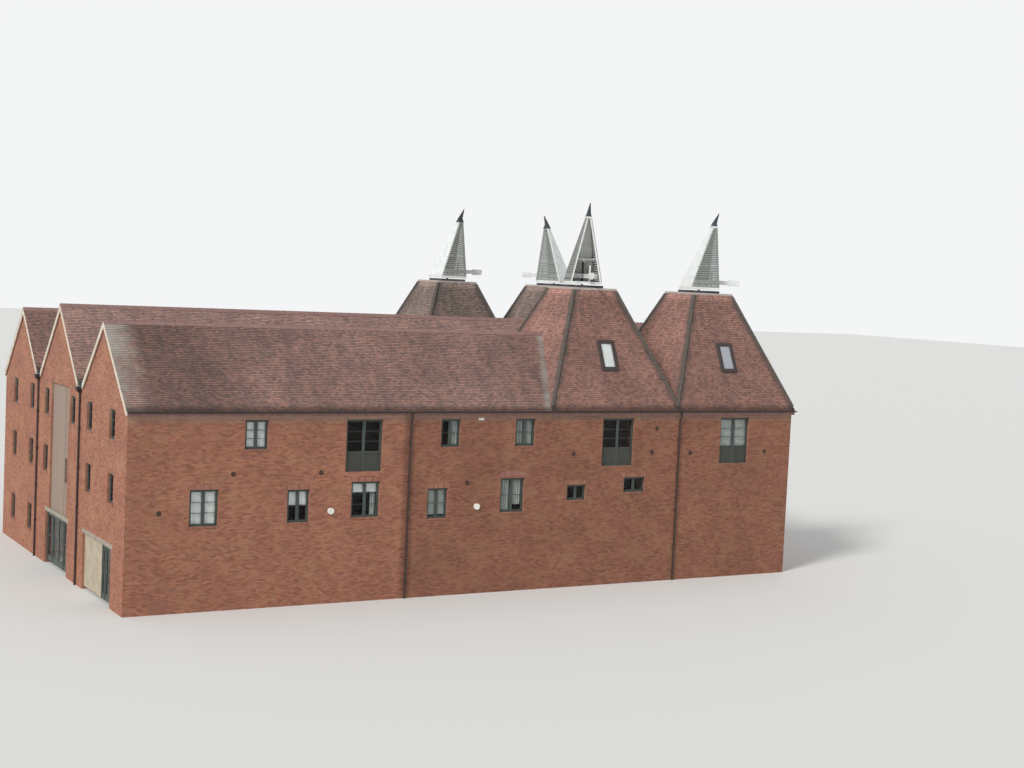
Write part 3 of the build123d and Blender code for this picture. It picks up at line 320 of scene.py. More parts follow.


# Two finishes in one piece: one below a height and one over it, on the caps and frames sheet metal or tar.
def banded(name, below, above, height):
    material, tree = newMaterial(name)
    place = addNode(tree, "ShaderNodeTexCoord")
    at = addNode(tree, "ShaderNodeSeparateXYZ", {0: place.outputs["Object"]})
    over = addNode(tree, "ShaderNodeMath", {0: at.outputs[2], 1: height}, operation="GREATER_THAN")
    dirt = addNode(tree, "ShaderNodeTexNoise", {"Vector": place.outputs["Object"], "Scale": 6, "Detail": 6})
    tone = addNode(tree, "ShaderNodeMix", {0: over, 6: colour(below), 7: colour(above)}, data_type="RGBA")
    shade = addNode(tree, "ShaderNodeMapRange", {0: dirt, 1: 0.3, 2: 0.7, 3: 0.85, 4: 1.1})
    worn = addNode(tree, "ShaderNodeHueSaturation", {"Value": shade, "Color": tone.outputs[2]})
    finishSurface(tree, {"Base Color": worn, "Roughness": 0.6}, dirt, 0.003)
    return material


# Float glass, 4 mm, clear with a faint green; it shows the dark rooms and mirrors the sky. The alpha lets
# most of the light pass unbent, as through a pane that thin.
def floatGlass(name):
    material, tree = newMaterial(name)
    shader = addNode(tree, "ShaderNodeBsdfPrincipled", {
        "Base Color": colour("#e6eeec"), "Roughness": 0.03, "IOR": 1.5, "Transmission Weight": 1,
        "Alpha": 0.2})
    addNode(tree, "ShaderNodeOutputMaterial", {"Surface": shader})
    return material


# A cowl's shell: half its width at the foot and at the head, and those heights over its base
cowl = {"half": 0.825, "top": 0.15, "base": 14.72, "foot": 0.13, "head": 3.3, "board": 0.12}


# White painted boards on the leaning back of a cowl, bare weathered slats at its sides.
def cowlBoards(name, centre, turn):
    material, tree = newMaterial(name)
    place = addNode(tree, "ShaderNodeTexCoord")
    own = addNode(tree, "ShaderNodeMapping", {"Vector": place.outputs["Object"],
                  "Location": (centre.x, centre.y, cowl["base"]), "Rotation": (0, 0, turn)},
                  vector_type="TEXTURE")
    at = addNode(tree, "ShaderNodeSeparateXYZ", {0: own})
    # the back face lies at x = -half at the foot and moves forward by this much for each metre up
    lean = 2 * (cowl["half"] - cowl["top"]) / (cowl["head"] - cowl["foot"])
    back = addNode(tree, "ShaderNodeMath", {0: at.outputs[2], 1: lean,
                   2: -cowl["half"] - lean * cowl["foot"] + 0.05}, operation="MULTIPLY_ADD")
    behind = addNode(tree, "ShaderNodeMath", {0: at.outputs[0], 1: back}, operation="LESS_THAN")
    # the vane and its arm stand out in front and are white too
    vane = addNode(tree, "ShaderNodeMath", {0: at.outputs[0], 1: cowl["half"] + 0.01},
                   operation="GREATER_THAN")
    isBack = addNode(tree, "ShaderNodeMath", {0: behind, 1: vane}, operation="MAXIMUM")
    lining = addNode(tree, "ShaderNodeMath", {0: back, 1: 0.08}, operation="ADD")
    isLining = addNode(tree, "ShaderNodeMath", {0: at.outputs[0], 1: lining}, operation="LESS_THAN")
    step = addNode(tree, "ShaderNodeMath", {0: at.outputs[1], 1: cowl["board"]}, operation="DIVIDE")
    part = addNode(tree, "ShaderNodeMath", {0: step}, operation="FRACT")
    joint = addNode(tree, "ShaderNodeMath", {0: part, 1: 0.08}, operation="LESS_THAN")
    dirt = addNode(tree, "ShaderNodeTexNoise", {"Vector": place.outputs["Object"], "Scale": 2.5, "Detail": 6})
    grime = addNode(tree, "ShaderNodeMapRange", {0: dirt, 1: 0.45, 2: 0.75, 3: 0, 4: 0.6})
    white = addNode(tree, "ShaderNodeMix", {0: grime, 6: colour("#eceeea"), 7: colour("#c9ccc6")},
                    data_type="RGBA")
    seamed = addNode(tree, "ShaderNodeMix", {0: joint, 6: white.outputs[2], 7: colour("#a4a8a4")},
                     data_type="RGBA")
    bare = addNode(tree, "ShaderNodeMix", {0: dirt, 6: colour("#93968f"), 7: colour("#787b76")},
                   data_type="RGBA")
    lined = addNode(tree, "ShaderNodeMix", {0: isLining, 6: bare.outputs[2], 7: colour("#a6a8a2")},
                    data_type="RGBA")
    both = addNode(tree, "ShaderNodeMix", {0: isBack, 6: lined.outputs[2], 7: seamed.outputs[2]},
                   data_type="RGBA")
    low = addNode(tree, "ShaderNodeMath", {0: dirt, 1: joint}, operation="SUBTRACT")
    finishSurface(tree, {"Base Color": both.outputs[2], "Roughness": 0.55}, low, 0.004)
    return material


wallTones = [(0.0, "#895745"), (0.25, "#9d644c"), (0.5, "#a96e54"), (0.75, "#b2795e"), (1.0, "#956453")]
archTones = [(0.0, "#93665a"), (0.35, "#a27264"), (0.65, "#ab7b6b"), (1.0, "#8d6356")]
soldierTones = [(0.0, "#8b5e4c"), (0.35, "#9d6c57"), (0.65, "#a87660"), (1.0, "#8a5d4c")]
rangeTones = [(0.0, "#755b54"), (0.3, "#8a6a60"), (0.55, "#997468"), (0.8, "#a47b6d"), (1.0, "#7c6560")]
middleTones = [(0.0, "#826a63"), (0.3, "#997a70"), (0.55, "#a98479"), (0.8, "#b58c7e"), (1.0, "#8b746e")]
kilnTones = [(0.0, "#76554b"), (0.3, "#8d665a"), (0.55, "#976f63"), (0.8, "#a17565"), (1.0, "#7c6058")]
rearKilnTones = [(0.0, "#65564f"), (0.3, "#79685f"), (0.55, "#837167"), (0.8, "#8b776c"), (1.0, "#6b5f59")]
finishes = {
    "brick": stockBrick("stockBrickLimeMortar", wallTones, "#a2897a"),
    "arch": gaugedBrick("rubbedBrick", archTones),
    "soldier": gaugedBrick("soldierBrick", soldierTones),
    "rangeTiles": clayTiles("weatheredClayTiles", rangeTones, "#675552", mossOfRange, "#a7a298"),
    "middleTiles": clayTiles("paleClayTiles", middleTones, "#7d6862", mossOfRange, "#a7a298"),
    "kilnTiles": clayTiles("redderClayTiles", kilnTones, "#6e5650", stainOfKiln, "#4f4842"),
    "rearKilnTiles": clayTiles("greyerClayTiles", rearKilnTones, "#574b46", stainOfKiln, "#4a4540"),
    "ridge": coated("clayRidgeTiles", "#92706a", "#7a6059", 0.85, 5, 0.006),
    "hip": coated("mortaredHips", "#5f5750", "#4b4540", 0.9, 6, 0.008),
    "concrete": coated("castConcrete", "#a39a8b", "#8a8174", 0.9, 4, 0.004),
    "cream": coated("creamPaintedVerge", "#ded2bf", "#bfb09a", 0.6, 3, 0.002),
    "rust": coated("rustedCastIron", "#4a342b", "#33261f", 0.8, 12, 0.003),
    "iron": coated("paintedCastIron", "#3a2c28", "#2b2422", 0.45, 8, 0.002),
    "darkTimber": coated("darkPaintedJoinery", "#464f4a", "#3a413d", 0.5, 6, 0.002, stretch=(1, 1, 0.2)),
    "guard": coated("olivePaintedBoards", "#3f403a", "#35362f", 0.55, 6, 0.002, stretch=(1, 1, 0.2)),
    "render": coated("paleRender", "#b8ab95", "#a09480", 0.85, 2, 0.003),
    "paleBoards": boarded("paleBoarding", "#9b8779", "#8b7d70", "#5d544c", 0.15, 1),
    "floor": boarded("floorBoards", "#7d6349", "#5f4a36", "#2e251d", 0.18, 1),
    # the kiln curb turns dark grey above 14.55 m, over its upstand
    "curb": banded("limedCurb", "#b9aca3", "#45454a", 14.55),
    "cap": banded("leadCap", "#b9bcb9", "#3b3f45", 18.12),
    "tarredCap": banded("tarredCap", "#33363a", "#2c2f33", 18.12),
    "tarredFrame": banded("tarredFrameTop", "#e4e6e2", "#4a4d50", 17.72),
    "white": coated("whitePaintedTimber", "#eceeea", "#cfd2cc", 0.5, 3, 0.002),
    "trayLead": coated("valleyLead", "#6b6f73", "#54575a", 0.6, 4, 0.003, metallic=0.3),
    "lamp": coated("opalBulkhead", "#f3f0e8", "#dcd8ce", 0.4, 5, 0.001),
    "blind": coated("rollerBlindCloth", "#e3e6e2", "#d6d9d5", 0.9, 3, 0.001),
    "film": coated("frostedFilm", "#a6a7ad", "#9c9ca4", 0.6, 2, 0.0005),
    "curtain": coated("linenCurtain", "#a6aca6", "#949b95", 0.95, 5, 0.001, stretch=(4, 4, 0.5)),
    "glass": floatGlass("floatGlass"),
}


def finishNode(node, material):
    slots = nodes[node].data.materials
    if slots:
        slots[0] = material
    else:
        slots.append(material)


byNode = {
    "arch": ["window_arches"],
    "brick": ["front_wall", "rear_wall", "right_wall", "front_gable_wall", "front_gable_piers",
              "middle_gable_wall", "middle_gable_piers", "rear_gable_wall", "spine_walls", "kiln_walls"],
    "ridge": ["ridge_tiles", "front_range_roof", "middle_range_roof", "rear_range_roof",
              "front_left_kiln_roof", "front_right_kiln_roof", "rear_left_kiln_roof", "rear_right_kiln_roof"],
    "hip": ["hip_tiles"], "concrete": ["lintels", "ground_floor"], "floor": ["middle_floor", "upper_floor"],
    "cream": ["bargeboards"], "trayLead": ["valley_gutters"], "curb": ["kiln_curbs"],
    "iron": ["eaves_gutters", "rainwater_pipes", "cowl_posts"], "rust": ["tie_plates"],
    "darkTimber": ["window_frames", "upper_doors", "front_door", "middle_door_near", "middle_door_far",
                   "door_frames", "rooflights"],
    "paleBoards": ["loading_bay"], "render": ["gable_infill"], "lamp": ["wall_lamps", "wall_vent"],
    "glass": ["window_glass", "side_light_glass", "front_door_glass", "middle_door_near_glass",
              "middle_door_far_glass"],
}
for finish, names in byNode.items():
    for node in names:
        finishNode(node, finishes[finish])


def kilnCentre(x, rear, z=0.0):
    half = house["kilnSize"] / 2
    return corner + Vector((x + half, house["depth"] - half if rear else half, z))


# Each cowl's kiln, whether that is at the rear, and the way the cowl is turned in degrees
cowls = {"front_left": (kilnX[0], False, -109), "front_right": (kilnX[1], False, -15),
         "rear_left": (kilnX[0], True, 0), "rear_right": (kilnX[1], True, 120)}
for name, (x, rear, turn) in cowls.items():
    boards = cowlBoards(f"{name}CowlBoards", kilnCentre(x, rear), math.radians(turn))
    finishNode(f"{name}_cowl_boards", boards)
    finishNode(f"{name}_cowl_frame", finishes["tarredFrame" if rear else "white"])
    finishNode(f"{name}_cowl_cap", finishes["tarredCap" if rear else "cap"])
print("materials made")


def addPiece(name, source, material, body="root"):
    if isinstance(source, bmesh.types.BMesh):
        mesh = bpy.data.meshes.new(name)
        source.to_mesh(mesh)
        source.free()
    else:
        mesh = source
        mesh.name = name
    piece = bpy.data.objects.new(name, mesh)
    bpy.context.scene.collection.objects.link(piece)
    mesh.materials.clear()
    mesh.materials.append(material)
    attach(piece, body)
    return piece


def arrayed(bm, countAcross, across, countUp=1, up=(0, 0, 0)):
    # two array modifiers, applied
    mesh = bpy.data.meshes.new("array")
    bm.to_mesh(mesh)
    bm.free()
    source = bpy.data.objects.new("array", mesh)
    bpy.context.scene.collection.objects.link(source)
    for count, offset in ((countAcross, across), (countUp, up)):
        array = source.modifiers.new("array", "ARRAY")
        array.count = count
        array.use_relative_offset = False
        array.use_constant_offset = True
        array.constant_offset_displace = offset
    evaluated = source.evaluated_get(bpy.context.evaluated_depsgraph_get())
    result = bpy.data.meshes.new_from_object(evaluated)
    bpy.data.objects.remove(source)
    return result


def opened(mesh):
    bm = bmesh.new()
    bm.from_mesh(mesh)
    return bm


def pointsOf(mesh):
    flat = np.empty(len(mesh.vertices) * 3)
    mesh.vertices.foreach_get("co", flat)
    return flat.reshape(-1, 3)


def flipped(point):
    return Vector((point[0], house["depth"] - point[1], point[2]))


def flippedWay(way):
    return Vector((way[0], -way[1], way[2]))


# Plain tiles laid on a slope: start and end are the ends of its foot, top lies up the slope.
# Each plane in cuts trims the field, what lies behind both planes of buried is left out, and shift
# moves the slope's UV on.
def tileField(start, end, top, cuts=(), buried=(), windows=(), shift=0.0):
    start, end, top = Vector(start), Vector(end), Vector(top)
    along = (end - start).normalized()
    rise = (top - start) - along * (top - start).dot(along)
    up = rise.normalized()
    outward = along.cross(up)
    bm = bmesh.new()
    bmesh.ops.create_grid(bm, x_segments=1, y_segments=2, size=0.5)
    half = tiling["width"] / 2
    for vert in bm.verts:
        step = round((vert.co.y + 0.5) * 2)
        vert.co = ((-1 if vert.co.x < 0 else 1) * (half - tiling["gap"] / 2),
                   tiling["gauge"] if step == 2 else 0, tiling["lip"] if step == 1 else 0)
    pair = bmesh.ops.duplicate(bm, geom=bm.verts[:] + bm.edges[:] + bm.faces[:])
    moved = [item for item in pair["geom"] if isinstance(item, bmesh.types.BMVert)]
    bmesh.ops.translate(bm, verts=moved, vec=(half, tiling["gauge"], 0))
    across = math.ceil((end - start).length / tiling["width"]) + 1
    courses = math.ceil(rise.length / tiling["gauge"] / 2)
    mesh = arrayed(bm, across, (tiling["width"], 0, 0), courses, (0, 2 * tiling["gauge"], 0))
    points = pointsOf(mesh)
    layer = mesh.uv_layers.new(name="slope")
    corners = np.empty(len(mesh.loops), dtype=np.int32)
    mesh.loops.foreach_get("vertex_index", corners)
    layer.data.foreach_set("uv", (points[corners, :2] + (shift, 0)).ravel())
    tiles = points.reshape(-1, 6, 3)
    lip = tiles[:, :, 2] > 0
    tiles[:, :, 2] += lip * rng.random(len(tiles))[:, None] * tiling["lift"]
    # old battens let the field sag and wave by a few millimetres
    wave = np.sin(points[:, 0] * 0.9 + points[:, 1] * 0.7) + np.sin(points[:, 0] * 0.31 - points[:, 1] * 1.3)
    points[:, 2] += tiling["clear"] + tiling["sag"] * (0.5 + wave / 4)
    mesh.vertices.foreach_set("co", points.ravel())
    place = Matrix((along, up, outward)).transposed().to_4x4()
    place.translation = start + corner
    bm = opened(mesh)
    for u0, u1, v0, v1 in windows:
        inside = [f for f in bm.faces if u0 < f.calc_center_median().x < u1
                  and v0 < f.calc_center_median().y < v1]
        bmesh.ops.delete(bm, geom=inside, context="FACES")
    bmesh.ops.transform(bm, matrix=place, verts=bm.verts[:])
    ends = [(start, -along), (end, along), (start + rise, up)]
    for point, way in list(cuts) + ends:
        bmesh.ops.bisect_plane(bm, geom=bm.verts[:] + bm.edges[:] + bm.faces[:],
                               plane_co=Vector(point) + corner, plane_no=way, clear_outer=True)
    if buried:
        hidden = [f for f in bm.faces if all((f.calc_center_median() - Vector(p) - corner).dot(Vector(n)) < 0
                                             for p, n in buried)]
        bmesh.ops.delete(bm, geom=hidden, context="FACES")
    bpy.data.meshes.remove(mesh)
    return bm


def joined(fields):
    # several bmeshes as one mesh
    whole = bmesh.new()
    for bm in fields:
        part = bpy.data.meshes.new("part")
        bm.to_mesh(part)
        bm.free()
        whole.from_mesh(part)
        bpy.data.meshes.remove(part)
    return whole


def mirroredField(start, end, top, cuts=(), buried=(), windows=(), shift=0.0):
    return tileField(flipped(end), flipped(start), flipped(top),
                     [(flipped(p), flippedWay(n)) for p, n in cuts],
                     [(flipped(p), flippedWay(n)) for p, n in buried], windows, shift)


eave = house["eave"]
overhang = house["overhang"]
verge = house["verge"] + tiling["past"]
kilnSteep = house["kilnRise"] / (house["kilnInset"] + overhang)
kilnLeftWay = Vector((-kilnSteep, 0, 1)).normalized()
intoKiln = [((kilnX[0] - overhang, 0, eave), -kilnLeftWay)]
rangeEnd = kilnX[0] + house["kilnInset"]
ridgeZ = eave + house["ridgeRise"]
valleyZ = eave + house["valleyRise"]
frontSlope = ((-verge, -overhang, eave), (rangeEnd, -overhang, eave), (-verge, house["ridgeY"], ridgeZ))
backSlope = ((rangeEnd, house["valleyNear"], valleyZ), (-verge, house["valleyNear"], valleyZ),
             (rangeEnd, house["ridgeY"], ridgeZ))
middleZ = eave + house["middleRise"]
middleSteep = (house["middleRise"] - house["valleyRise"]) / (house["depth"] / 2 - house["valleyFar"])
footZ = valleyZ - middleSteep * (house["valleyFar"] - house["middleFoot"])
middleLeft = ((-verge, house["valleyFar"], valleyZ), (kilnX[0], house["valleyFar"], valleyZ),
              (-verge, house["depth"] / 2, middleZ))
middleRight = ((kilnX[0], house["middleFoot"], footZ), (house["length"] + verge, house["middleFoot"], footZ),
               (kilnX[0], house["depth"] / 2, middleZ))
addPiece("front_range_tiles", joined([tileField(*frontSlope, intoKiln), tileField(*backSlope, intoKiln)]),
         finishes["rangeTiles"])
addPiece("rear_range_tiles", joined([mirroredField(*frontSlope, intoKiln),
                                     mirroredField(*backSlope, intoKiln)]),
         finishes["rangeTiles"])
addPiece("middle_range_tiles", joined([field(*slope) for field in (tileField, mirroredField)
                                       for slope in (middleLeft, middleRight)]),
         finishes["middleTiles"])
print("range tiles laid")

frontWay = Vector((0, -house["ridgeRise"], house["ridgeY"] + overhang))
backWay = Vector((0, house["ridgeRise"] - house["valleyRise"], house["valleyNear"] - house["ridgeY"]))
underRange = [((0, -overhang, eave - tiling["under"]), frontWay),
              ((0, house["valleyNear"], valleyZ - tiling["under"]), backWay)]
rooflight = {"width": 1.0, "length": 1.62, "start": 2.08, "frame": 0.07, "blind": 0.01, "film": 0.0416}


def kilnTiles(x, field):
    size = house["kilnSize"]
    low, high = -overhang, size + overhang
    inset = house["kilnInset"]
    top = eave + house["kilnRise"]
    middle = Vector((x + size / 2, size / 2, 0))
    party = ((kilnX[1], 0, 0), (1 if x == kilnX[0] else -1, 0, 0))
    behind = ((0, house["middleFoot"], 0), (0, 1, 0))
    faces = []
    turns = [((0, -1), (1, 0)), ((1, 0), (0, 1)), ((0, 1), (-1, 0)), ((-1, 0), (0, -1))]
    for (dx, dy), (tx, ty) in turns:
        out = Vector((dx, dy, 0))
        along = Vector((tx, ty, 0))
        reach = size / 2 + overhang
        start = middle + out * reach - along * reach + Vector((0, 0, eave))
        end = middle + out * reach + along * reach + Vector((0, 0, eave))
        head = start - out * (inset + overhang) + Vector((0, 0, house["kilnRise"]))
        cuts = [(middle, along - out), (middle, -along - out), party, behind]
        hidden = underRange if (dx == -1 and x == kilnX[0]) else ()
        windows = ()
        if dy == -1 and field is tileField:
            left = (reach * 2 - rooflight["width"]) / 2
            windows = [(left, left + rooflight["width"], rooflight["start"],
                        rooflight["start"] + rooflight["length"])]
        # the left-facing slopes take the shift, which paints them lighter as sunlit and bleached
        faces.append(field(start, end, head, cuts, hidden, windows, tiling["shift"] if dx == -1 else 0.0))
    return joined(faces)


for side, x in zip(("left", "right"), kilnX):
    addPiece(f"front_{side}_kiln_tiles", kilnTiles(x, tileField), finishes["kilnTiles"])
    addPiece(f"rear_{side}_kiln_tiles", kilnTiles(x, mirroredField), finishes["rearKilnTiles"])
print("kiln tiles laid")

# The four outer faces. Each has its own flat frame: a along the wall, z up, d out from the face.
faces = {
    "front": Matrix(((1, 0, 0, 0), (0, 0, -1, corner.y), (0, 1, 0, 0), (0, 0, 0, 1))),
    "rear": Matrix(((-1, 0, 0, 0), (0, 0, 1, -corner.y), (0, 1, 0, 0), (0, 0, 0, 1))),
    "left": Matrix(((0, 0, -1, corner.x), (-1, 0, 0, 0), (0, 1, 0, 0), (0, 0, 0, 1))),
    "right": Matrix(((0, 0, 1, -corner.x), (1, 0, 0, 0), (0, 1, 0, 0), (0, 0, 0, 1))),
}


def onFace(side, middle):
    # a distance from the left corner, or in from the front, as that face's own a
    return {"front": middle + corner.x, "rear": -middle - corner.x,
            "left": -middle - corner.y, "right": middle + corner.y}[side]


# Windows as the part has them: left edge, sill, width, height, lights, glazing bars across each light
windows = {
    "upper_1": (5.13, 6.95, 1.05, 1.28, 2, 2), "upper_2": (14.63, 6.93, 1.0, 1.3, 2, 1),
    "upper_3": (18.6, 6.93, 1.08, 1.3, 2, 1), "middle_1": (2.75, 3.68, 1.28, 1.58, 2, 2),
    "middle_2": (7.18, 3.69, 1.03, 1.46, 2, 1), "middle_3": (10.23, 3.81, 1.38, 1.62, 2, 2),
    "middle_4": (14.06, 3.63, 1.04, 1.4, 2, 1), "middle_5": (17.92, 3.79, 1.29, 1.62, 2, 1),
    "middle_6": (21.63, 4.25, 1.08, 0.75, 2, 0), "middle_7": (24.93, 4.55, 1.27, 0.75, 2, 0),
}
upperDoors = {"upper_door_1": (9.88, 1.78), "upper_door_2": (23.55, 1.85), "upper_door_3": (30.78, 1.83)}
joinery = {
    "back": 0.1, "depth": 0.07, "bar": 0.06, "sash": 0.042, "sashDepth": 0.05, "glazing": 0.022,
    "gap": 0.003, "doorSill": 5.88, "doorHeight": 2.35, "guard": 0.8, "plank": 0.11, "rail": 0.06,
    "plankGap": 0.004, "plankThick": 0.016, "railThick": 0.02, "setBack": 0.006, "barBack": 0.008,
}
gables = {  # windows of the left gables by their near edges and sills, and of the right-hand end
    "width": 0.85, "height": 1.29, "outer": (1.8, 5.32), "nearSills": (4.45, 7.2),
    "farSills": (1.15, 4.45, 7.2), "middle": ((8.15, (7.2,)), (12.9, (4.45, 7.2))), "endWidth": 1.05,
    "endMiddles": (3.7, 11.0, 18.3), "endSills": (4.45, 6.94),
}
openings = []  # side, a of the middle, sill, width, height, lights, bars, kind
for left, sill, width, height, lights, bars in windows.values():
    for side in ("front", "rear"):
        openings.append((side, onFace(side, left + width / 2), sill, width, height, lights, bars, "window"))
for left, width in upperDoors.values():
    openings.append(("front", onFace("front", left + width / 2), joinery["doorSill"], width,
                     joinery["doorHeight"], 2, 2, "door"))
gableSize = (gables["width"], gables["height"], 1, 2, "window")
for near in gables["outer"]:
    middle = near + gables["width"] / 2
    far = house["depth"] - middle
    for place, sills in ((middle, gables["nearSills"]), (far, gables["farSills"])):
        for sill in sills:
            openings.append(("left", onFace("left", place), sill) + gableSize)
for near, sills in gables["middle"]:
    for sill in sills:
        openings.append(("left", onFace("left", near + gables["width"] / 2), sill) + gableSize)
for middle in gables["endMiddles"]:
    for sill in gables["endSills"]:
        openings.append(("right", onFace("right", middle), sill, gables["endWidth"], gables["height"], 2, 1,
                         "window"))


def addBox(bm, low, high):
    low, high = Vector(low), Vector(high)
    cube = bmesh.ops.create_cube(bm, size=1)
    bmesh.ops.scale(bm, verts=cube["verts"], vec=high - low)
    bmesh.ops.translate(bm, verts=cube["verts"], vec=(low + high) / 2)
    return cube["verts"]


def soften(piece, width, segments=1):
    bevel = piece.modifiers.new("edges", "BEVEL")
    bevel.width = width
    bevel.segments = segments
    bevel.limit_method = "ANGLE"
    return piece


# Casements in every light, with their glazing bars, and planks on the upper doors' guards
def addJoinery(side, middle, sill, width, height, lights, bars, kind, sashes, glazing, guards):
    bar, sash, gap = joinery["bar"], joinery["sash"], joinery["gap"]
    front = -joinery["back"] - joinery["setBack"]
    back = front - joinery["sashDepth"]
    light = (width - (lights + 1) * bar) / lights
    foot = sill + bar + gap + (joinery["guard"] if kind == "door" else 0)
    head = sill + height - bar - gap
    made, thin, planks = [], [], []
    for i in range(lights):
        a0 = middle - width / 2 + bar + i * (light + bar) + gap
        a1 = a0 + light - 2 * gap
        made += addBox(sashes, (a0, foot, back), (a0 + sash, head, front))
        made += addBox(sashes, (a1 - sash, foot, back), (a1, head, front))
        made += addBox(sashes, (a0 + sash, foot, back), (a1 - sash, foot + sash, front))
        made += addBox(sashes, (a0 + sash, head - sash, back), (a1 - sash, head, front))
        clear = head - foot - 2 * sash
        for k in range(bars):
            z = foot + sash + clear * (k + 1) / (bars + 1)
            thin += addBox(glazing, (a0 + sash, z - joinery["glazing"] / 2, back),
                           (a1 - sash, z + joinery["glazing"] / 2, front - joinery["barBack"]))
    if kind == "door":
        inner = width / 2 - bar
        count = round(2 * inner / joinery["plank"])
        step = 2 * inner / count
        panel = -joinery["back"] - joinery["depth"] / 3
        between, rail = joinery["plankGap"], joinery["rail"]
        for k in range(count):
            a = middle - inner + k * step
            planks += addBox(guards, (a + between, sill + bar + between, panel),
                             (a + step - between, foot - rail, panel + joinery["plankThick"]))
        planks += addBox(guards, (middle - inner, foot - rail + between, panel),
                         (middle + inner, foot - between, panel + joinery["railThick"]))
    for bm, verts in ((sashes, made), (glazing, thin), (guards, planks)):
        bmesh.ops.transform(bm, matrix=faces[side], verts=verts)


sashes, glazing, guards = bmesh.new(), bmesh.new(), bmesh.new()
for opening in openings:
    addJoinery(*opening, sashes, glazing, guards)
soften(addPiece("upper_door_guards", guards, finishes["guard"]), 0.003)
soften(addPiece("casement_sashes", sashes, finishes["darkTimber"]), 0.004)
soften(addPiece("glazing_bars", glazing, finishes["darkTimber"]), 0.003)
print("windows glazed")

# Facing bricks laid proud of the walls, in running bond on the same grid as the brick finish. Every zone is
# left free of bricks, and kept says how high a wall goes.
wallTop = {"eaves": 8.55, "gables": 12.4, "underRoof": 0.2, "valley": 0.4, "underKiln": 0.02}


def brickField(side, low, high, zones, kept):
    start = math.floor(low / module) * module
    across = math.ceil((high - start) / module) + 1
    rows = math.ceil(kept["top"] / course / 2)
    bm = bmesh.new()
    verts = addBox(bm, (facing["joint"] / 2, facing["joint"] / 2, 0),
                   (module - facing["joint"] / 2, course - facing["joint"] / 2, facing["proud"]))
    against = [f for f in bm.faces if f.calc_center_median().z < 1e-5]
    bmesh.ops.delete(bm, geom=against, context="FACES_ONLY")
    upper = bmesh.ops.duplicate(bm, geom=bm.verts[:] + bm.edges[:] + bm.faces[:])
    moved = [item for item in upper["geom"] if isinstance(item, bmesh.types.BMVert)]
    bmesh.ops.translate(bm, verts=verts, vec=(-module / 2, 0, 0))
    bmesh.ops.translate(bm, verts=moved, vec=(0, course, 0))
    mesh = arrayed(bm, across, (module, 0, 0), rows, (0, 2 * course, 0))
    points = pointsOf(mesh)
    bricks = points.reshape(-1, 8, 3)
    bricks[:, :, 0] += start
    a0, a1 = bricks[:, :, 0].min(axis=1), bricks[:, :, 0].max(axis=1)
    z0, z1 = bricks[:, :, 1].min(axis=1), bricks[:, :, 1].max(axis=1)
    a0, a1 = np.maximum(a0, low), np.minimum(a1, high)
    half = facing["joint"] / 2
    for left, right, foot, head in zones:
        hit = (a1 > left - half) & (a0 < right + half) & (z1 > foot - half) & (z0 < head + half)
        cuts = np.array([a1 - left, right - a0, z1 - foot, head - z0]) + half
        least = cuts.argmin(axis=0)
        a1 = np.where(hit & (least == 0), left - half, a1)
        a0 = np.where(hit & (least == 1), right + half, a0)
        z1 = np.where(hit & (least == 2), foot - half, z1)
        z0 = np.where(hit & (least == 3), head + half, z0)
    keep = (a1 - a0 > facing["least"]) & (z1 - z0 > facing["least"]) & kept["test"]((a0 + a1) / 2, z1)
    wide = bricks[:, :, 0] > bricks[:, :, 0].mean(axis=1)[:, None]
    tall = bricks[:, :, 1] > bricks[:, :, 1].mean(axis=1)[:, None]
    bricks[:, :, 0] = np.where(wide, a1[:, None], a0[:, None])
    bricks[:, :, 1] = np.where(tall, z1[:, None], z0[:, None])
    # each brick sits a little in or out of the wall's plane
    bricks[:, :, 2] *= (0.6 + 0.4 * rng.random(len(bricks)))[:, None]
    mesh.vertices.foreach_set("co", points.ravel())
    bm = opened(mesh)
    bm.verts.ensure_lookup_table()
    dropped = [bm.verts[i] for i in np.flatnonzero(np.repeat(~keep, 8))]
    bmesh.ops.delete(bm, geom=dropped, context="VERTS")
    bmesh.ops.transform(bm, matrix=faces[side], verts=bm.verts[:])
    bpy.data.meshes.remove(mesh)
    return bm


def gableTop(a, z):
    # true under the slopes of the three roofs, seen from the left
    y = -a - corner.y
    near = np.minimum(y, house["depth"] - y)
    fold = eave + house["ridgeRise"] * np.minimum((near + overhang) / (house["ridgeY"] + overhang), 1)
    fall = (house["ridgeRise"] - house["valleyRise"]) / (house["valleyNear"] - house["ridgeY"])
    fold -= np.maximum(near - house["ridgeY"], 0) * fall
    rise = valleyZ + (near - house["valleyFar"]) * middleSteep
    valley = (near > house["valleyNear"]) & (near < house["valleyFar"])
    top = np.where(near > house["valleyFar"], rise, fold) - wallTop["underRoof"]
    return z < np.where(valley, eave + wallTop["valley"], top)


def endTop(a, z):
    near = np.minimum(a - corner.y, house["depth"] - (a - corner.y))
    rise = valleyZ + (near - house["valleyFar"]) * middleSteep - wallTop["underRoof"]
    return z < np.where(near < house["kilnSize"], eave - wallTop["underKiln"], rise)


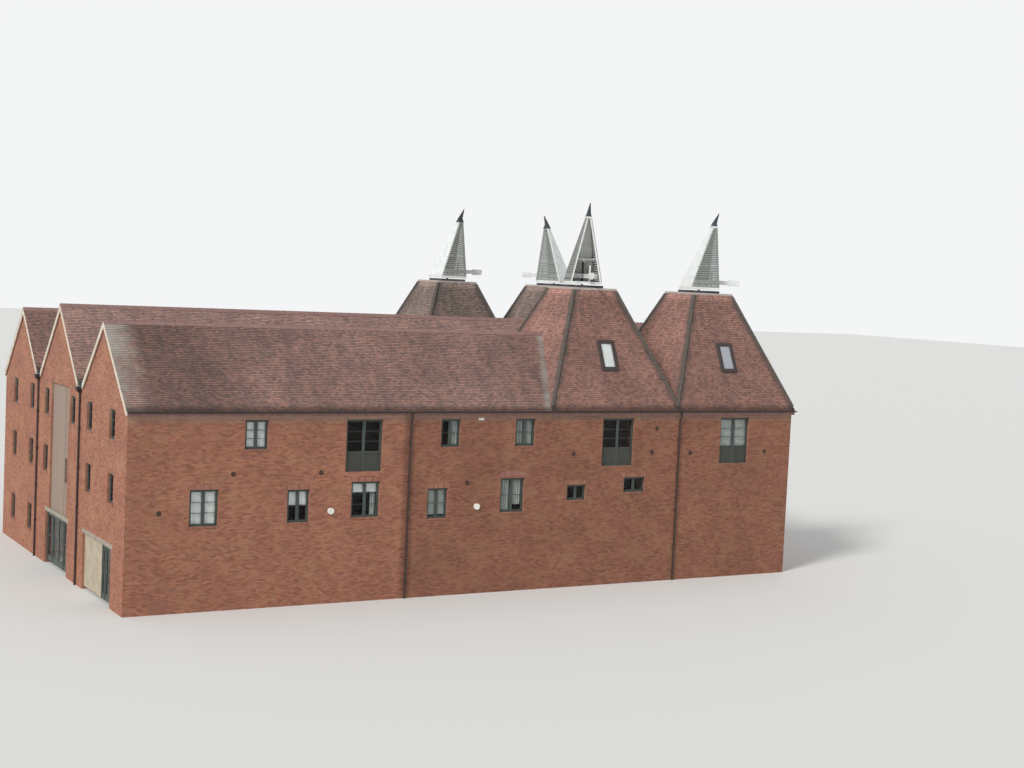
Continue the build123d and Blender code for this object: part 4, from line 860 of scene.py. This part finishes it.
# The loading bay's opening and the small light in its panel, the ground openings, and the two wall lamps
bay = {"near": 9.25, "far": 12.4, "foot": 2.75, "head": 8.85, "face": -0.1, "board": 0.15, "gap": 0.006,
       "thick": 0.014, "margin": 0.01, "lightFar": 10.05, "lightFoot": 4.3, "lightHead": 5.45}
ground = {"front": (1.85, 6.25), "middle": (9.0, 13.0), "head": 2.55, "lintel": 0.2, "bearing": 0.2}
lamps = {"spots": ((9.23, 4.16), (16.64, 4.12)), "reach": 0.14}
zones = {side: [] for side in faces}
soldiers, sills = [], []
for side, middle, sill, width, height, lights, bars, kind in openings:
    a0, a1, head = middle - width / 2, middle + width / 2, sill + height
    zones[side].append((a0, a1, sill, head))
    arched = side in ("front", "rear") and abs(sill - windows["middle_5"][1]) < 1e-6
    if not arched and head + facing["soldier"] < facing["soldierTop"]:
        soldiers.append((side, a0 - facing["bearing"], a1 + facing["bearing"], head))
        zones[side].append((a0 - facing["bearing"], a1 + facing["bearing"], head, head + facing["soldier"]))
    if kind == "window":
        sills.append((side, a0 - facing["sillReach"], a1 + facing["sillReach"], sill))
        zones[side].append((a0 - facing["sillReach"], a1 + facing["sillReach"], sill - facing["sill"], sill))
for near, far in (ground["front"], ground["middle"]):
    low, high = onFace("left", far), onFace("left", near)
    zones["left"].append((low, high, 0, ground["head"]))
    zones["left"].append((low - ground["bearing"], high + ground["bearing"], ground["head"],
                          ground["head"] + ground["lintel"]))
zones["left"].append((onFace("left", bay["far"]), onFace("left", bay["near"]), bay["foot"], bay["head"]))
for middle, z in lamps["spots"]:
    a, reach = onFace("front", middle), lamps["reach"]
    zones["front"].append((a - reach, a + reach, z - reach, z + reach))
flat = {"top": wallTop["eaves"], "test": lambda a, z: z < wallTop["eaves"] + 0.01}
proud = facing["proud"]
halfLength, halfDepth = -corner.x, -corner.y
for side, reach, kept in (("front", halfLength, flat), ("rear", halfLength, flat),
                          ("left", halfDepth + proud, {"top": wallTop["gables"], "test": gableTop}),
                          ("right", halfDepth + proud, {"top": wallTop["gables"], "test": endTop})):
    addPiece(f"{side}_facing_bricks", brickField(side, -reach, reach, zones[side], kept),
             finishes["brick"])
print("walls faced")


# Bricks on end over the openings and on edge under them, each with its own tone in its UV
def toneBrick(layer, verts):
    tone = float(rng.random())
    for face in {f for v in verts for f in v.link_faces}:
        for loop in face.loops:
            loop[layer].uv = (tone, 0)


def brickRow(bm, side, low, high, foot, tall, out):
    count = round((high - low) / course)
    step = (high - low) / count
    gap, bedded = facing["gap"], facing["bedded"]
    layer = bm.loops.layers.uv.verify()
    for k in range(count):
        verts = addBox(bm, (low + k * step + gap, foot + gap, -bedded),
                       (low + (k + 1) * step - gap, foot + tall - gap, out))
        bmesh.ops.transform(bm, matrix=faces[side], verts=verts)
        toneBrick(layer, verts)


row = bmesh.new()
for side, low, high, head in soldiers:
    brickRow(row, side, low, high, head, facing["soldier"] - facing["gap"], facing["soldierOut"])
addPiece("soldier_arches", row, finishes["soldier"])
row = bmesh.new()
for side, low, high, sill in sills:
    brickRow(row, side, low, high, sill - facing["sill"] + facing["sillGap"], facing["sill"],
             facing["sillOut"])
addPiece("brick_sills", row, finishes["soldier"])

arch = {"rise": 0.13, "ring": 0.225, "bearing": 0.09, "out": 0.014, "gap": 0.003}
ring = bmesh.new()
left, sill, width, height = windows["middle_5"][:4]
span = width + 2 * arch["bearing"]
radius = span ** 2 / (8 * arch["rise"]) + arch["rise"] / 2
halfAngle = math.asin(span / 2 / radius)
count = round(2 * halfAngle * (radius + arch["ring"] / 2) / course)
layer = ring.loops.layers.uv.verify()
for side in ("front", "rear"):
    centre = Vector((onFace(side, left + width / 2), sill + height + arch["rise"] - radius, 0))
    for k in range(count):
        angle = halfAngle * (1 - (2 * k + 1) / count)
        thick = halfAngle / count * radius - facing["gap"]
        verts = addBox(ring, (-thick, radius + arch["gap"], -facing["bedded"]),
                       (thick, radius + arch["ring"] - arch["gap"], arch["out"]))
        bmesh.ops.rotate(ring, verts=verts, cent=(0, 0, 0), matrix=Matrix.Rotation(angle, 3, "Z"))
        bmesh.ops.translate(ring, verts=verts, vec=centre)
        bmesh.ops.transform(ring, matrix=faces[side], verts=verts)
        toneBrick(layer, verts)
addPiece("segmental_arch_bricks", ring, finishes["arch"])
print("arches and sills laid")

# Mortar joints of the ridge and hip tiles
dressing = {"ridgeStep": 0.45, "ridgeReach": 0.17, "ridgeThick": 0.035, "outerSlope": 0.948,
            "middleSlope": 0.988, "wide": 0.022, "proud": 0.007, "hipStep": 0.33, "hipRadius": 0.091,
            "hipStart": 0.8, "outerEnd": 21.9}
joints = []
for y, z, steep, end in ((house["ridgeY"], ridgeZ, dressing["outerSlope"], dressing["outerEnd"]),
                         (house["depth"] / 2, middleZ, dressing["middleSlope"], house["length"] + verge),
                         (house["depth"] - house["ridgeY"], ridgeZ, dressing["outerSlope"],
                          dressing["outerEnd"])):
    bm = bmesh.new()
    wing = dressing["ridgeReach"] * math.hypot(1, steep)
    for hand in (1, -1):
        verts = addBox(bm, (-dressing["wide"] / 2, 0, 0), (dressing["wide"] / 2, wing, dressing["proud"]))
        if hand < 0:
            bmesh.ops.rotate(bm, verts=verts, cent=(0, 0, 0), matrix=Matrix.Rotation(math.pi, 3, "Z"))
        bmesh.ops.rotate(bm, verts=verts, cent=(0, 0, 0),
                         matrix=Matrix.Rotation(-hand * math.atan(steep), 3, "X"))
    lift = dressing["ridgeThick"] * math.hypot(1, steep)
    start = corner + Vector((dressing["ridgeStep"] - verge, y, z + lift))
    bmesh.ops.translate(bm, verts=bm.verts[:], vec=start)
    count = int((end - dressing["ridgeStep"]) / dressing["ridgeStep"])
    joints.append(opened(arrayed(bm, count, (dressing["ridgeStep"], 0, 0))))
addPiece("ridge_joints", joined(joints), finishes["ridge"])

collars = []
slant = Vector((house["kilnInset"] + overhang, house["kilnInset"] + overhang, house["kilnRise"]))
for x in kilnX:
    for rear in (False, True):
        for right, far in ((False, False), (True, False), (False, True), (True, True)):
            way = Vector((-slant.x if right else slant.x, -slant.y if far else slant.y, slant.z))
            foot = Vector((x - overhang + (house["kilnSize"] + 2 * overhang if right else 0),
                           -overhang + (house["kilnSize"] + 2 * overhang if far else 0), eave))
            if rear:
                way, foot = flippedWay(way), flipped(foot)
            step = way.normalized() * dressing["hipStep"]
            bm = bmesh.new()
            ring = bmesh.ops.create_cone(bm, cap_ends=True, segments=12, radius1=dressing["hipRadius"],
                                         radius2=dressing["hipRadius"], depth=dressing["wide"])
            turned = Vector((0, 0, 1)).rotation_difference(way).to_matrix()
            bmesh.ops.rotate(bm, verts=ring["verts"], cent=(0, 0, 0), matrix=turned)
            start = foot + way.normalized() * dressing["hipStart"] + corner
            bmesh.ops.translate(bm, verts=ring["verts"], vec=start)
            count = int((way.length - dressing["hipStart"] - dressing["wide"]) / dressing["hipStep"]) + 1
            collars.append(opened(arrayed(bm, count, step)))
addPiece("hip_joints", joined(collars), finishes["hip"])

# Gutter straps every 900 mm, and the sockets and ears of the pipes
goods = {"step": 0.9, "strap": 0.015, "reach": 0.2, "under": 8.519, "plate": 8.40, "socket": 0.057,
         "high": 0.09, "ear": 0.085, "levels": (1.8, 3.6, 5.4, 7.2), "out": 0.075, "start": 0.45,
         "thick": 0.011, "plateThick": 0.02, "gap": 0.001, "earHalf": 0.02, "earNear": 0.004, "earFar": 0.03,
         "straps": 39, "pipes": (("front", 13.05), ("front", 28.15), ("rear", 13.05), ("rear", 28.15),
                                 ("left", 7.18), ("left", 14.82))}
straps = bmesh.new()
addBox(straps, (-goods["strap"], -goods["reach"], goods["under"] - goods["thick"]),
       (goods["strap"], 0, goods["under"]))
addBox(straps, (-goods["strap"], -goods["plateThick"], goods["plate"]),
       (goods["strap"], 0, goods["under"] - goods["thick"] - goods["gap"]))
bmesh.ops.translate(straps, verts=straps.verts[:], vec=corner + Vector((goods["start"], 0, 0)))
mesh = arrayed(straps, goods["straps"], (goods["step"], 0, 0))
front, rear = opened(mesh), opened(mesh)
bmesh.ops.rotate(rear, verts=rear.verts[:], cent=(0, 0, 0), matrix=Matrix.Rotation(math.pi, 3, "Z"))
addPiece("gutter_straps", joined([front, rear]), finishes["iron"])
sockets = bmesh.new()
for side, place in goods["pipes"]:
    for z in goods["levels"]:
        a = onFace(side, place)
        ring = bmesh.ops.create_cone(sockets, cap_ends=True, segments=16, radius1=goods["socket"],
                                     radius2=goods["socket"], depth=goods["high"])
        verts = ring["verts"]
        bmesh.ops.rotate(sockets, verts=verts, cent=(0, 0, 0), matrix=Matrix.Rotation(-math.pi / 2, 3, "X"))
        bmesh.ops.translate(sockets, verts=verts, vec=(a, z, goods["out"]))
        ears = addBox(sockets, (a - goods["ear"], z - goods["earHalf"], goods["earNear"]),
                      (a + goods["ear"], z + goods["earHalf"], goods["earFar"]))
        bmesh.ops.transform(sockets, matrix=faces[side], verts=verts + ears)
soften(addPiece("pipe_sockets", sockets, finishes["iron"]), 0.004)

# Upright boards on the loading bay's panel, cut round its small light
boards = bmesh.new()
count = round((bay["far"] - bay["near"]) / bay["board"])
for k in range(count):
    low = onFace("left", bay["far"]) + k * bay["board"] + bay["gap"] / 2
    high = low + bay["board"] - bay["gap"]
    lowest, highest = bay["foot"] + bay["margin"], bay["head"] - bay["margin"]
    spans = [(lowest, highest)]
    if high > onFace("left", bay["lightFar"]):
        if low < onFace("left", bay["lightFar"]):
            high = onFace("left", bay["lightFar"])
        else:
            spans = [(lowest, bay["lightFoot"]), (bay["lightHead"], highest)]
    for foot, head in spans:
        addBox(boards, (low, foot, bay["face"]), (high, head, bay["face"] + bay["thick"]))
bmesh.ops.transform(boards, matrix=faces["left"], verts=boards.verts[:])
soften(addPiece("loading_bay_boards", boards, finishes["paleBoards"]), 0.003)
print("joints, straps and boards added")

# Cloth behind the panes that show pale: roller blinds and gathered curtains
cloth = {"back": -0.205, "wave": 0.035, "belly": 0.004, "thick": 0.0015, "edge": 0.03,
         "doorEdge": 0.05, "overGuard": 0.1}


def hangCloth(name, low, high, top, foot, folds, material, rest="window_frames"):
    bm = bmesh.new()
    across = max(8, folds * 10)
    bmesh.ops.create_grid(bm, x_segments=across, y_segments=10, size=0.5)
    wave = cloth["wave"] if folds else 0.0
    for vert in bm.verts:
        u, v = vert.co.x + 0.5, vert.co.y + 0.5
        deep = wave * math.sin(2 * math.pi * folds * u) if folds else cloth["belly"] * math.sin(math.pi * v)
        vert.co = (low + (high - low) * u, foot + (top - foot) * v, cloth["back"] + deep)
    bmesh.ops.transform(bm, matrix=faces["front"], verts=bm.verts[:])
    piece = addPiece(name, bm, material)
    piece.modifiers.new("cloth", "SOLIDIFY").thickness = cloth["thick"]


def behind(window, shareLeft, shareRight, shareTop, shareFoot):
    left, sill, width, height = windows[window][:4]
    edge = cloth["edge"]
    inner, tall, head = width - 2 * edge, height - 2 * edge, sill + height - edge
    low = onFace("front", left + edge + inner * shareLeft)
    return low, low + inner * (shareRight - shareLeft), head - tall * shareTop, head - tall * shareFoot


# Each sheet's window, the shares of its pane that it covers from the left and from the top, and its folds
for name, window, share, folds, finish in (
        ("upper_1_blind", "upper_1", (0, 1, 0, 0.96), 0, "blind"),
        ("middle_1_blind", "middle_1", (0, 1, 0, 0.98), 0, "blind"),
        ("middle_2_blind", "middle_2", (0, 1, 0, 0.48), 0, "blind"),
        ("middle_3_blind", "middle_3", (0, 1, 0, 0.3), 0, "blind"),
        ("middle_3_curtain", "middle_3", (0.74, 0.93, 0.33, 0.97), 2, "curtain"),
        ("upper_2_curtain", "upper_2", (0.5, 1, 0, 0.97), 4, "curtain"),
        ("upper_3_near_curtain", "upper_3", (0.04, 0.46, 0, 0.97), 4, "curtain"),
        ("upper_3_far_curtain", "upper_3", (0.54, 0.96, 0, 0.97), 4, "curtain"),
        ("middle_4_blind", "middle_4", (0, 1, 0, 0.9), 0, "curtain"),
        ("middle_5_near_curtain", "middle_5", (0.02, 0.44, 0, 0.97), 4, "curtain"),
        ("middle_5_far_curtain", "middle_5", (0.56, 0.98, 0, 0.8), 4, "curtain")):
    hangCloth(name, *behind(window, *share), folds, finishes[finish])
left, width = upperDoors["upper_door_3"]
hangCloth("upper_door_3_blind", onFace("front", left + cloth["doorEdge"]),
          onFace("front", left + width - cloth["doorEdge"]),
          joinery["doorSill"] + joinery["doorHeight"] - cloth["edge"],
          joinery["doorSill"] + joinery["guard"] + cloth["overGuard"], 0, finishes["curtain"], "upper_doors")

# A blind under the left rooflight's pane and frosted film on the outside of the right one's
slope = math.atan2(house["kilnRise"], house["kilnInset"] + overhang)


def layOnSlope(bm, verts, x):
    bmesh.ops.rotate(bm, verts=verts, cent=(0, 0, 0), matrix=Matrix.Rotation(slope, 3, "X"))
    foot = corner + Vector((x + house["kilnSize"] / 2, -overhang, eave))
    bmesh.ops.translate(bm, verts=verts, vec=foot)


for name, x, finish in (("left", kilnX[0], "blind"), ("right", kilnX[1], "film")):
    bm = bmesh.new()
    bmesh.ops.create_grid(bm, x_segments=6, y_segments=10, size=0.5)
    wide, long = rooflight["width"] - 2 * rooflight["frame"], rooflight["length"] - 2 * rooflight["frame"]
    bmesh.ops.scale(bm, verts=bm.verts[:], vec=(wide, long, 1))
    centre = (0, rooflight["start"] + rooflight["length"] / 2, rooflight[finish])
    bmesh.ops.translate(bm, verts=bm.verts[:], vec=centre)
    layOnSlope(bm, bm.verts[:], x)
    piece = addPiece(f"{name}_rooflight_blind", bm, finishes[finish])
    piece.modifiers.new("cloth", "SOLIDIFY").thickness = cloth["thick"]
print("cloth hung")

# Dark sashes round the rooflights' panes
roofSash = {"bar": 0.2, "foot": 0.042, "head": 0.068}
sashes = bmesh.new()
for x in kilnX:
    wide, long = rooflight["width"] / 2, rooflight["length"]
    bar, low, high = roofSash["bar"], roofSash["foot"], roofSash["head"]
    start = rooflight["start"]
    verts = []
    for (a0, b0), (a1, b1) in (((-wide, 0), (wide, bar)), ((-wide, long - bar), (wide, long)),
                               ((-wide, bar), (-wide + bar, long - bar)),
                               ((wide - bar, bar), (wide, long - bar))):
        verts += addBox(sashes, (a0, start + b0, low), (a1, start + b1, high))
    layOnSlope(sashes, verts, x)
soften(addPiece("rooflight_sashes", sashes, finishes["iron"]), 0.006)

# Louvre slats between the part's own, so that the sides read as closed from the ground
louvre = {"pitch": 0.12, "drop": 0.05, "thick": 0.012, "inset": 0.034, "seat": 0.9, "stile": 0.1,
          "overVane": 0.59}
heights = [louvre["overVane"]]
z = cowl["foot"] + louvre["stile"] + 0.5 * louvre["pitch"]
while z < cowl["head"] - louvre["stile"]:
    heights.append(z)
    z += louvre["pitch"]
for name, (x, rear, turn) in cowls.items():
    slats = bmesh.new()
    for z in heights:
        share = (z - cowl["foot"]) / (cowl["head"] - cowl["foot"])
        side = cowl["half"] + (cowl["top"] - cowl["half"]) * share
        start = cowl["half"] - 2 * side + louvre["stile"] / 2
        end = cowl["half"] - louvre["stile"] / 2
        for hand in (1, -1):
            verts = addBox(slats, (start, -louvre["thick"] / 2, -louvre["drop"]),
                           (end, louvre["thick"] / 2, 0))
            tilt = hand * math.atan2(louvre["inset"], louvre["drop"])
            bmesh.ops.rotate(slats, verts=verts, cent=(0, 0, 0), matrix=Matrix.Rotation(tilt, 3, "X"))
            out = hand * (side - louvre["inset"] * louvre["seat"])
            bmesh.ops.translate(slats, verts=verts, vec=(0, out, z))
    place = (Matrix.Translation(kilnCentre(x, rear, cowl["base"]))
             @ Matrix.Rotation(math.radians(turn), 4, "Z"))
    bmesh.ops.transform(slats, matrix=place, verts=slats.verts[:])
    addPiece(f"{name}_cowl_slats", slats, bpy.data.materials[f"{name}CowlBoards"],
             f"{name}_cowl")
print("cowls louvred")

# Soft daylight: a pale sky all round and a broad low-strength sun from the left front.
light = {"sky": "#e9edf2", "skyStrength": 0.72, "sunStrength": 2.1, "sunAngle": 12,
         "sunWay": (0.72, 0.33, -0.61), "floor": "#dcdad5", "floorSize": 400, "backdrop": "#f4f5f6"}
world = bpy.data.worlds.new("sky")
bpy.context.scene.world = world
world.use_nodes = True
world.node_tree.nodes.clear()
sky = addNode(world.node_tree, "ShaderNodeBackground", {"Color": colour(light["sky"]),
                                                        "Strength": light["skyStrength"]})
backdrop = addNode(world.node_tree, "ShaderNodeBackground", {"Color": colour(light["backdrop"]),
                                                             "Strength": 1})
ray = addNode(world.node_tree, "ShaderNodeLightPath")
seen = addNode(world.node_tree, "ShaderNodeMath", {0: ray.outputs["Is Camera Ray"],
                                                   1: ray.outputs["Is Glossy Ray"]}, operation="MAXIMUM")
through = addNode(world.node_tree, "ShaderNodeMath", {0: seen,
                                                      1: ray.outputs["Is Transmission Ray"]},
                  operation="MAXIMUM")
both = addNode(world.node_tree, "ShaderNodeMixShader", {0: through, 1: sky, 2: backdrop})
addNode(world.node_tree, "ShaderNodeOutputWorld", {"Surface": both})
sun = bpy.data.objects.new("sun", bpy.data.lights.new("sun", "SUN"))
sun.data.energy = light["sunStrength"]
sun.data.angle = math.radians(light["sunAngle"])
sun.rotation_euler = Vector(light["sunWay"]).to_track_quat("-Z", "Y").to_euler()
bpy.context.scene.collection.objects.link(sun)

bm = bmesh.new()
bmesh.ops.create_grid(bm, x_segments=1, y_segments=1, size=light["floorSize"])
floorMesh = bpy.data.meshes.new("floor")
bm.to_mesh(floorMesh)
bm.free()
floor = bpy.data.objects.new("floor", floorMesh)
bpy.context.scene.collection.objects.link(floor)
floorMaterial, tree = newMaterial("paleFloor")
matt = addNode(tree, "ShaderNodeBsdfPrincipled", {"Base Color": colour(light["floor"]), "Roughness": 0.9})
addNode(tree, "ShaderNodeOutputMaterial", {"Surface": matt})
floorMesh.materials.append(floorMaterial)

# The photograph's viewpoint, found from the building's own corners.
view = {"place": (-36.764, -74.403, 14.670), "yaw": -0.5322, "pitch": 0.0651, "roll": 0.0468,
        "lens": 55.10, "sensor": 36, "far": 1000}
camera = bpy.data.objects.new("camera", bpy.data.cameras.new("camera"))
camera.data.lens = view["lens"]
camera.data.sensor_width = view["sensor"]
camera.data.clip_end = view["far"]
yaw, pitch, roll = view["yaw"], view["pitch"], view["roll"]
ahead = Vector((-math.sin(yaw) * math.cos(pitch), math.cos(yaw) * math.cos(pitch), -math.sin(pitch)))
level = Vector((math.cos(yaw), math.sin(yaw), 0))
above = level.cross(ahead)
right = math.cos(roll) * level + math.sin(roll) * above
upward = -math.sin(roll) * level + math.cos(roll) * above
pose = Matrix((right, upward, -ahead)).transposed().to_4x4()
pose.translation = view["place"]
camera.matrix_world = pose
bpy.context.scene.collection.objects.link(camera)
bpy.context.scene.camera = camera
bpy.context.scene.view_settings.view_transform = "Standard"
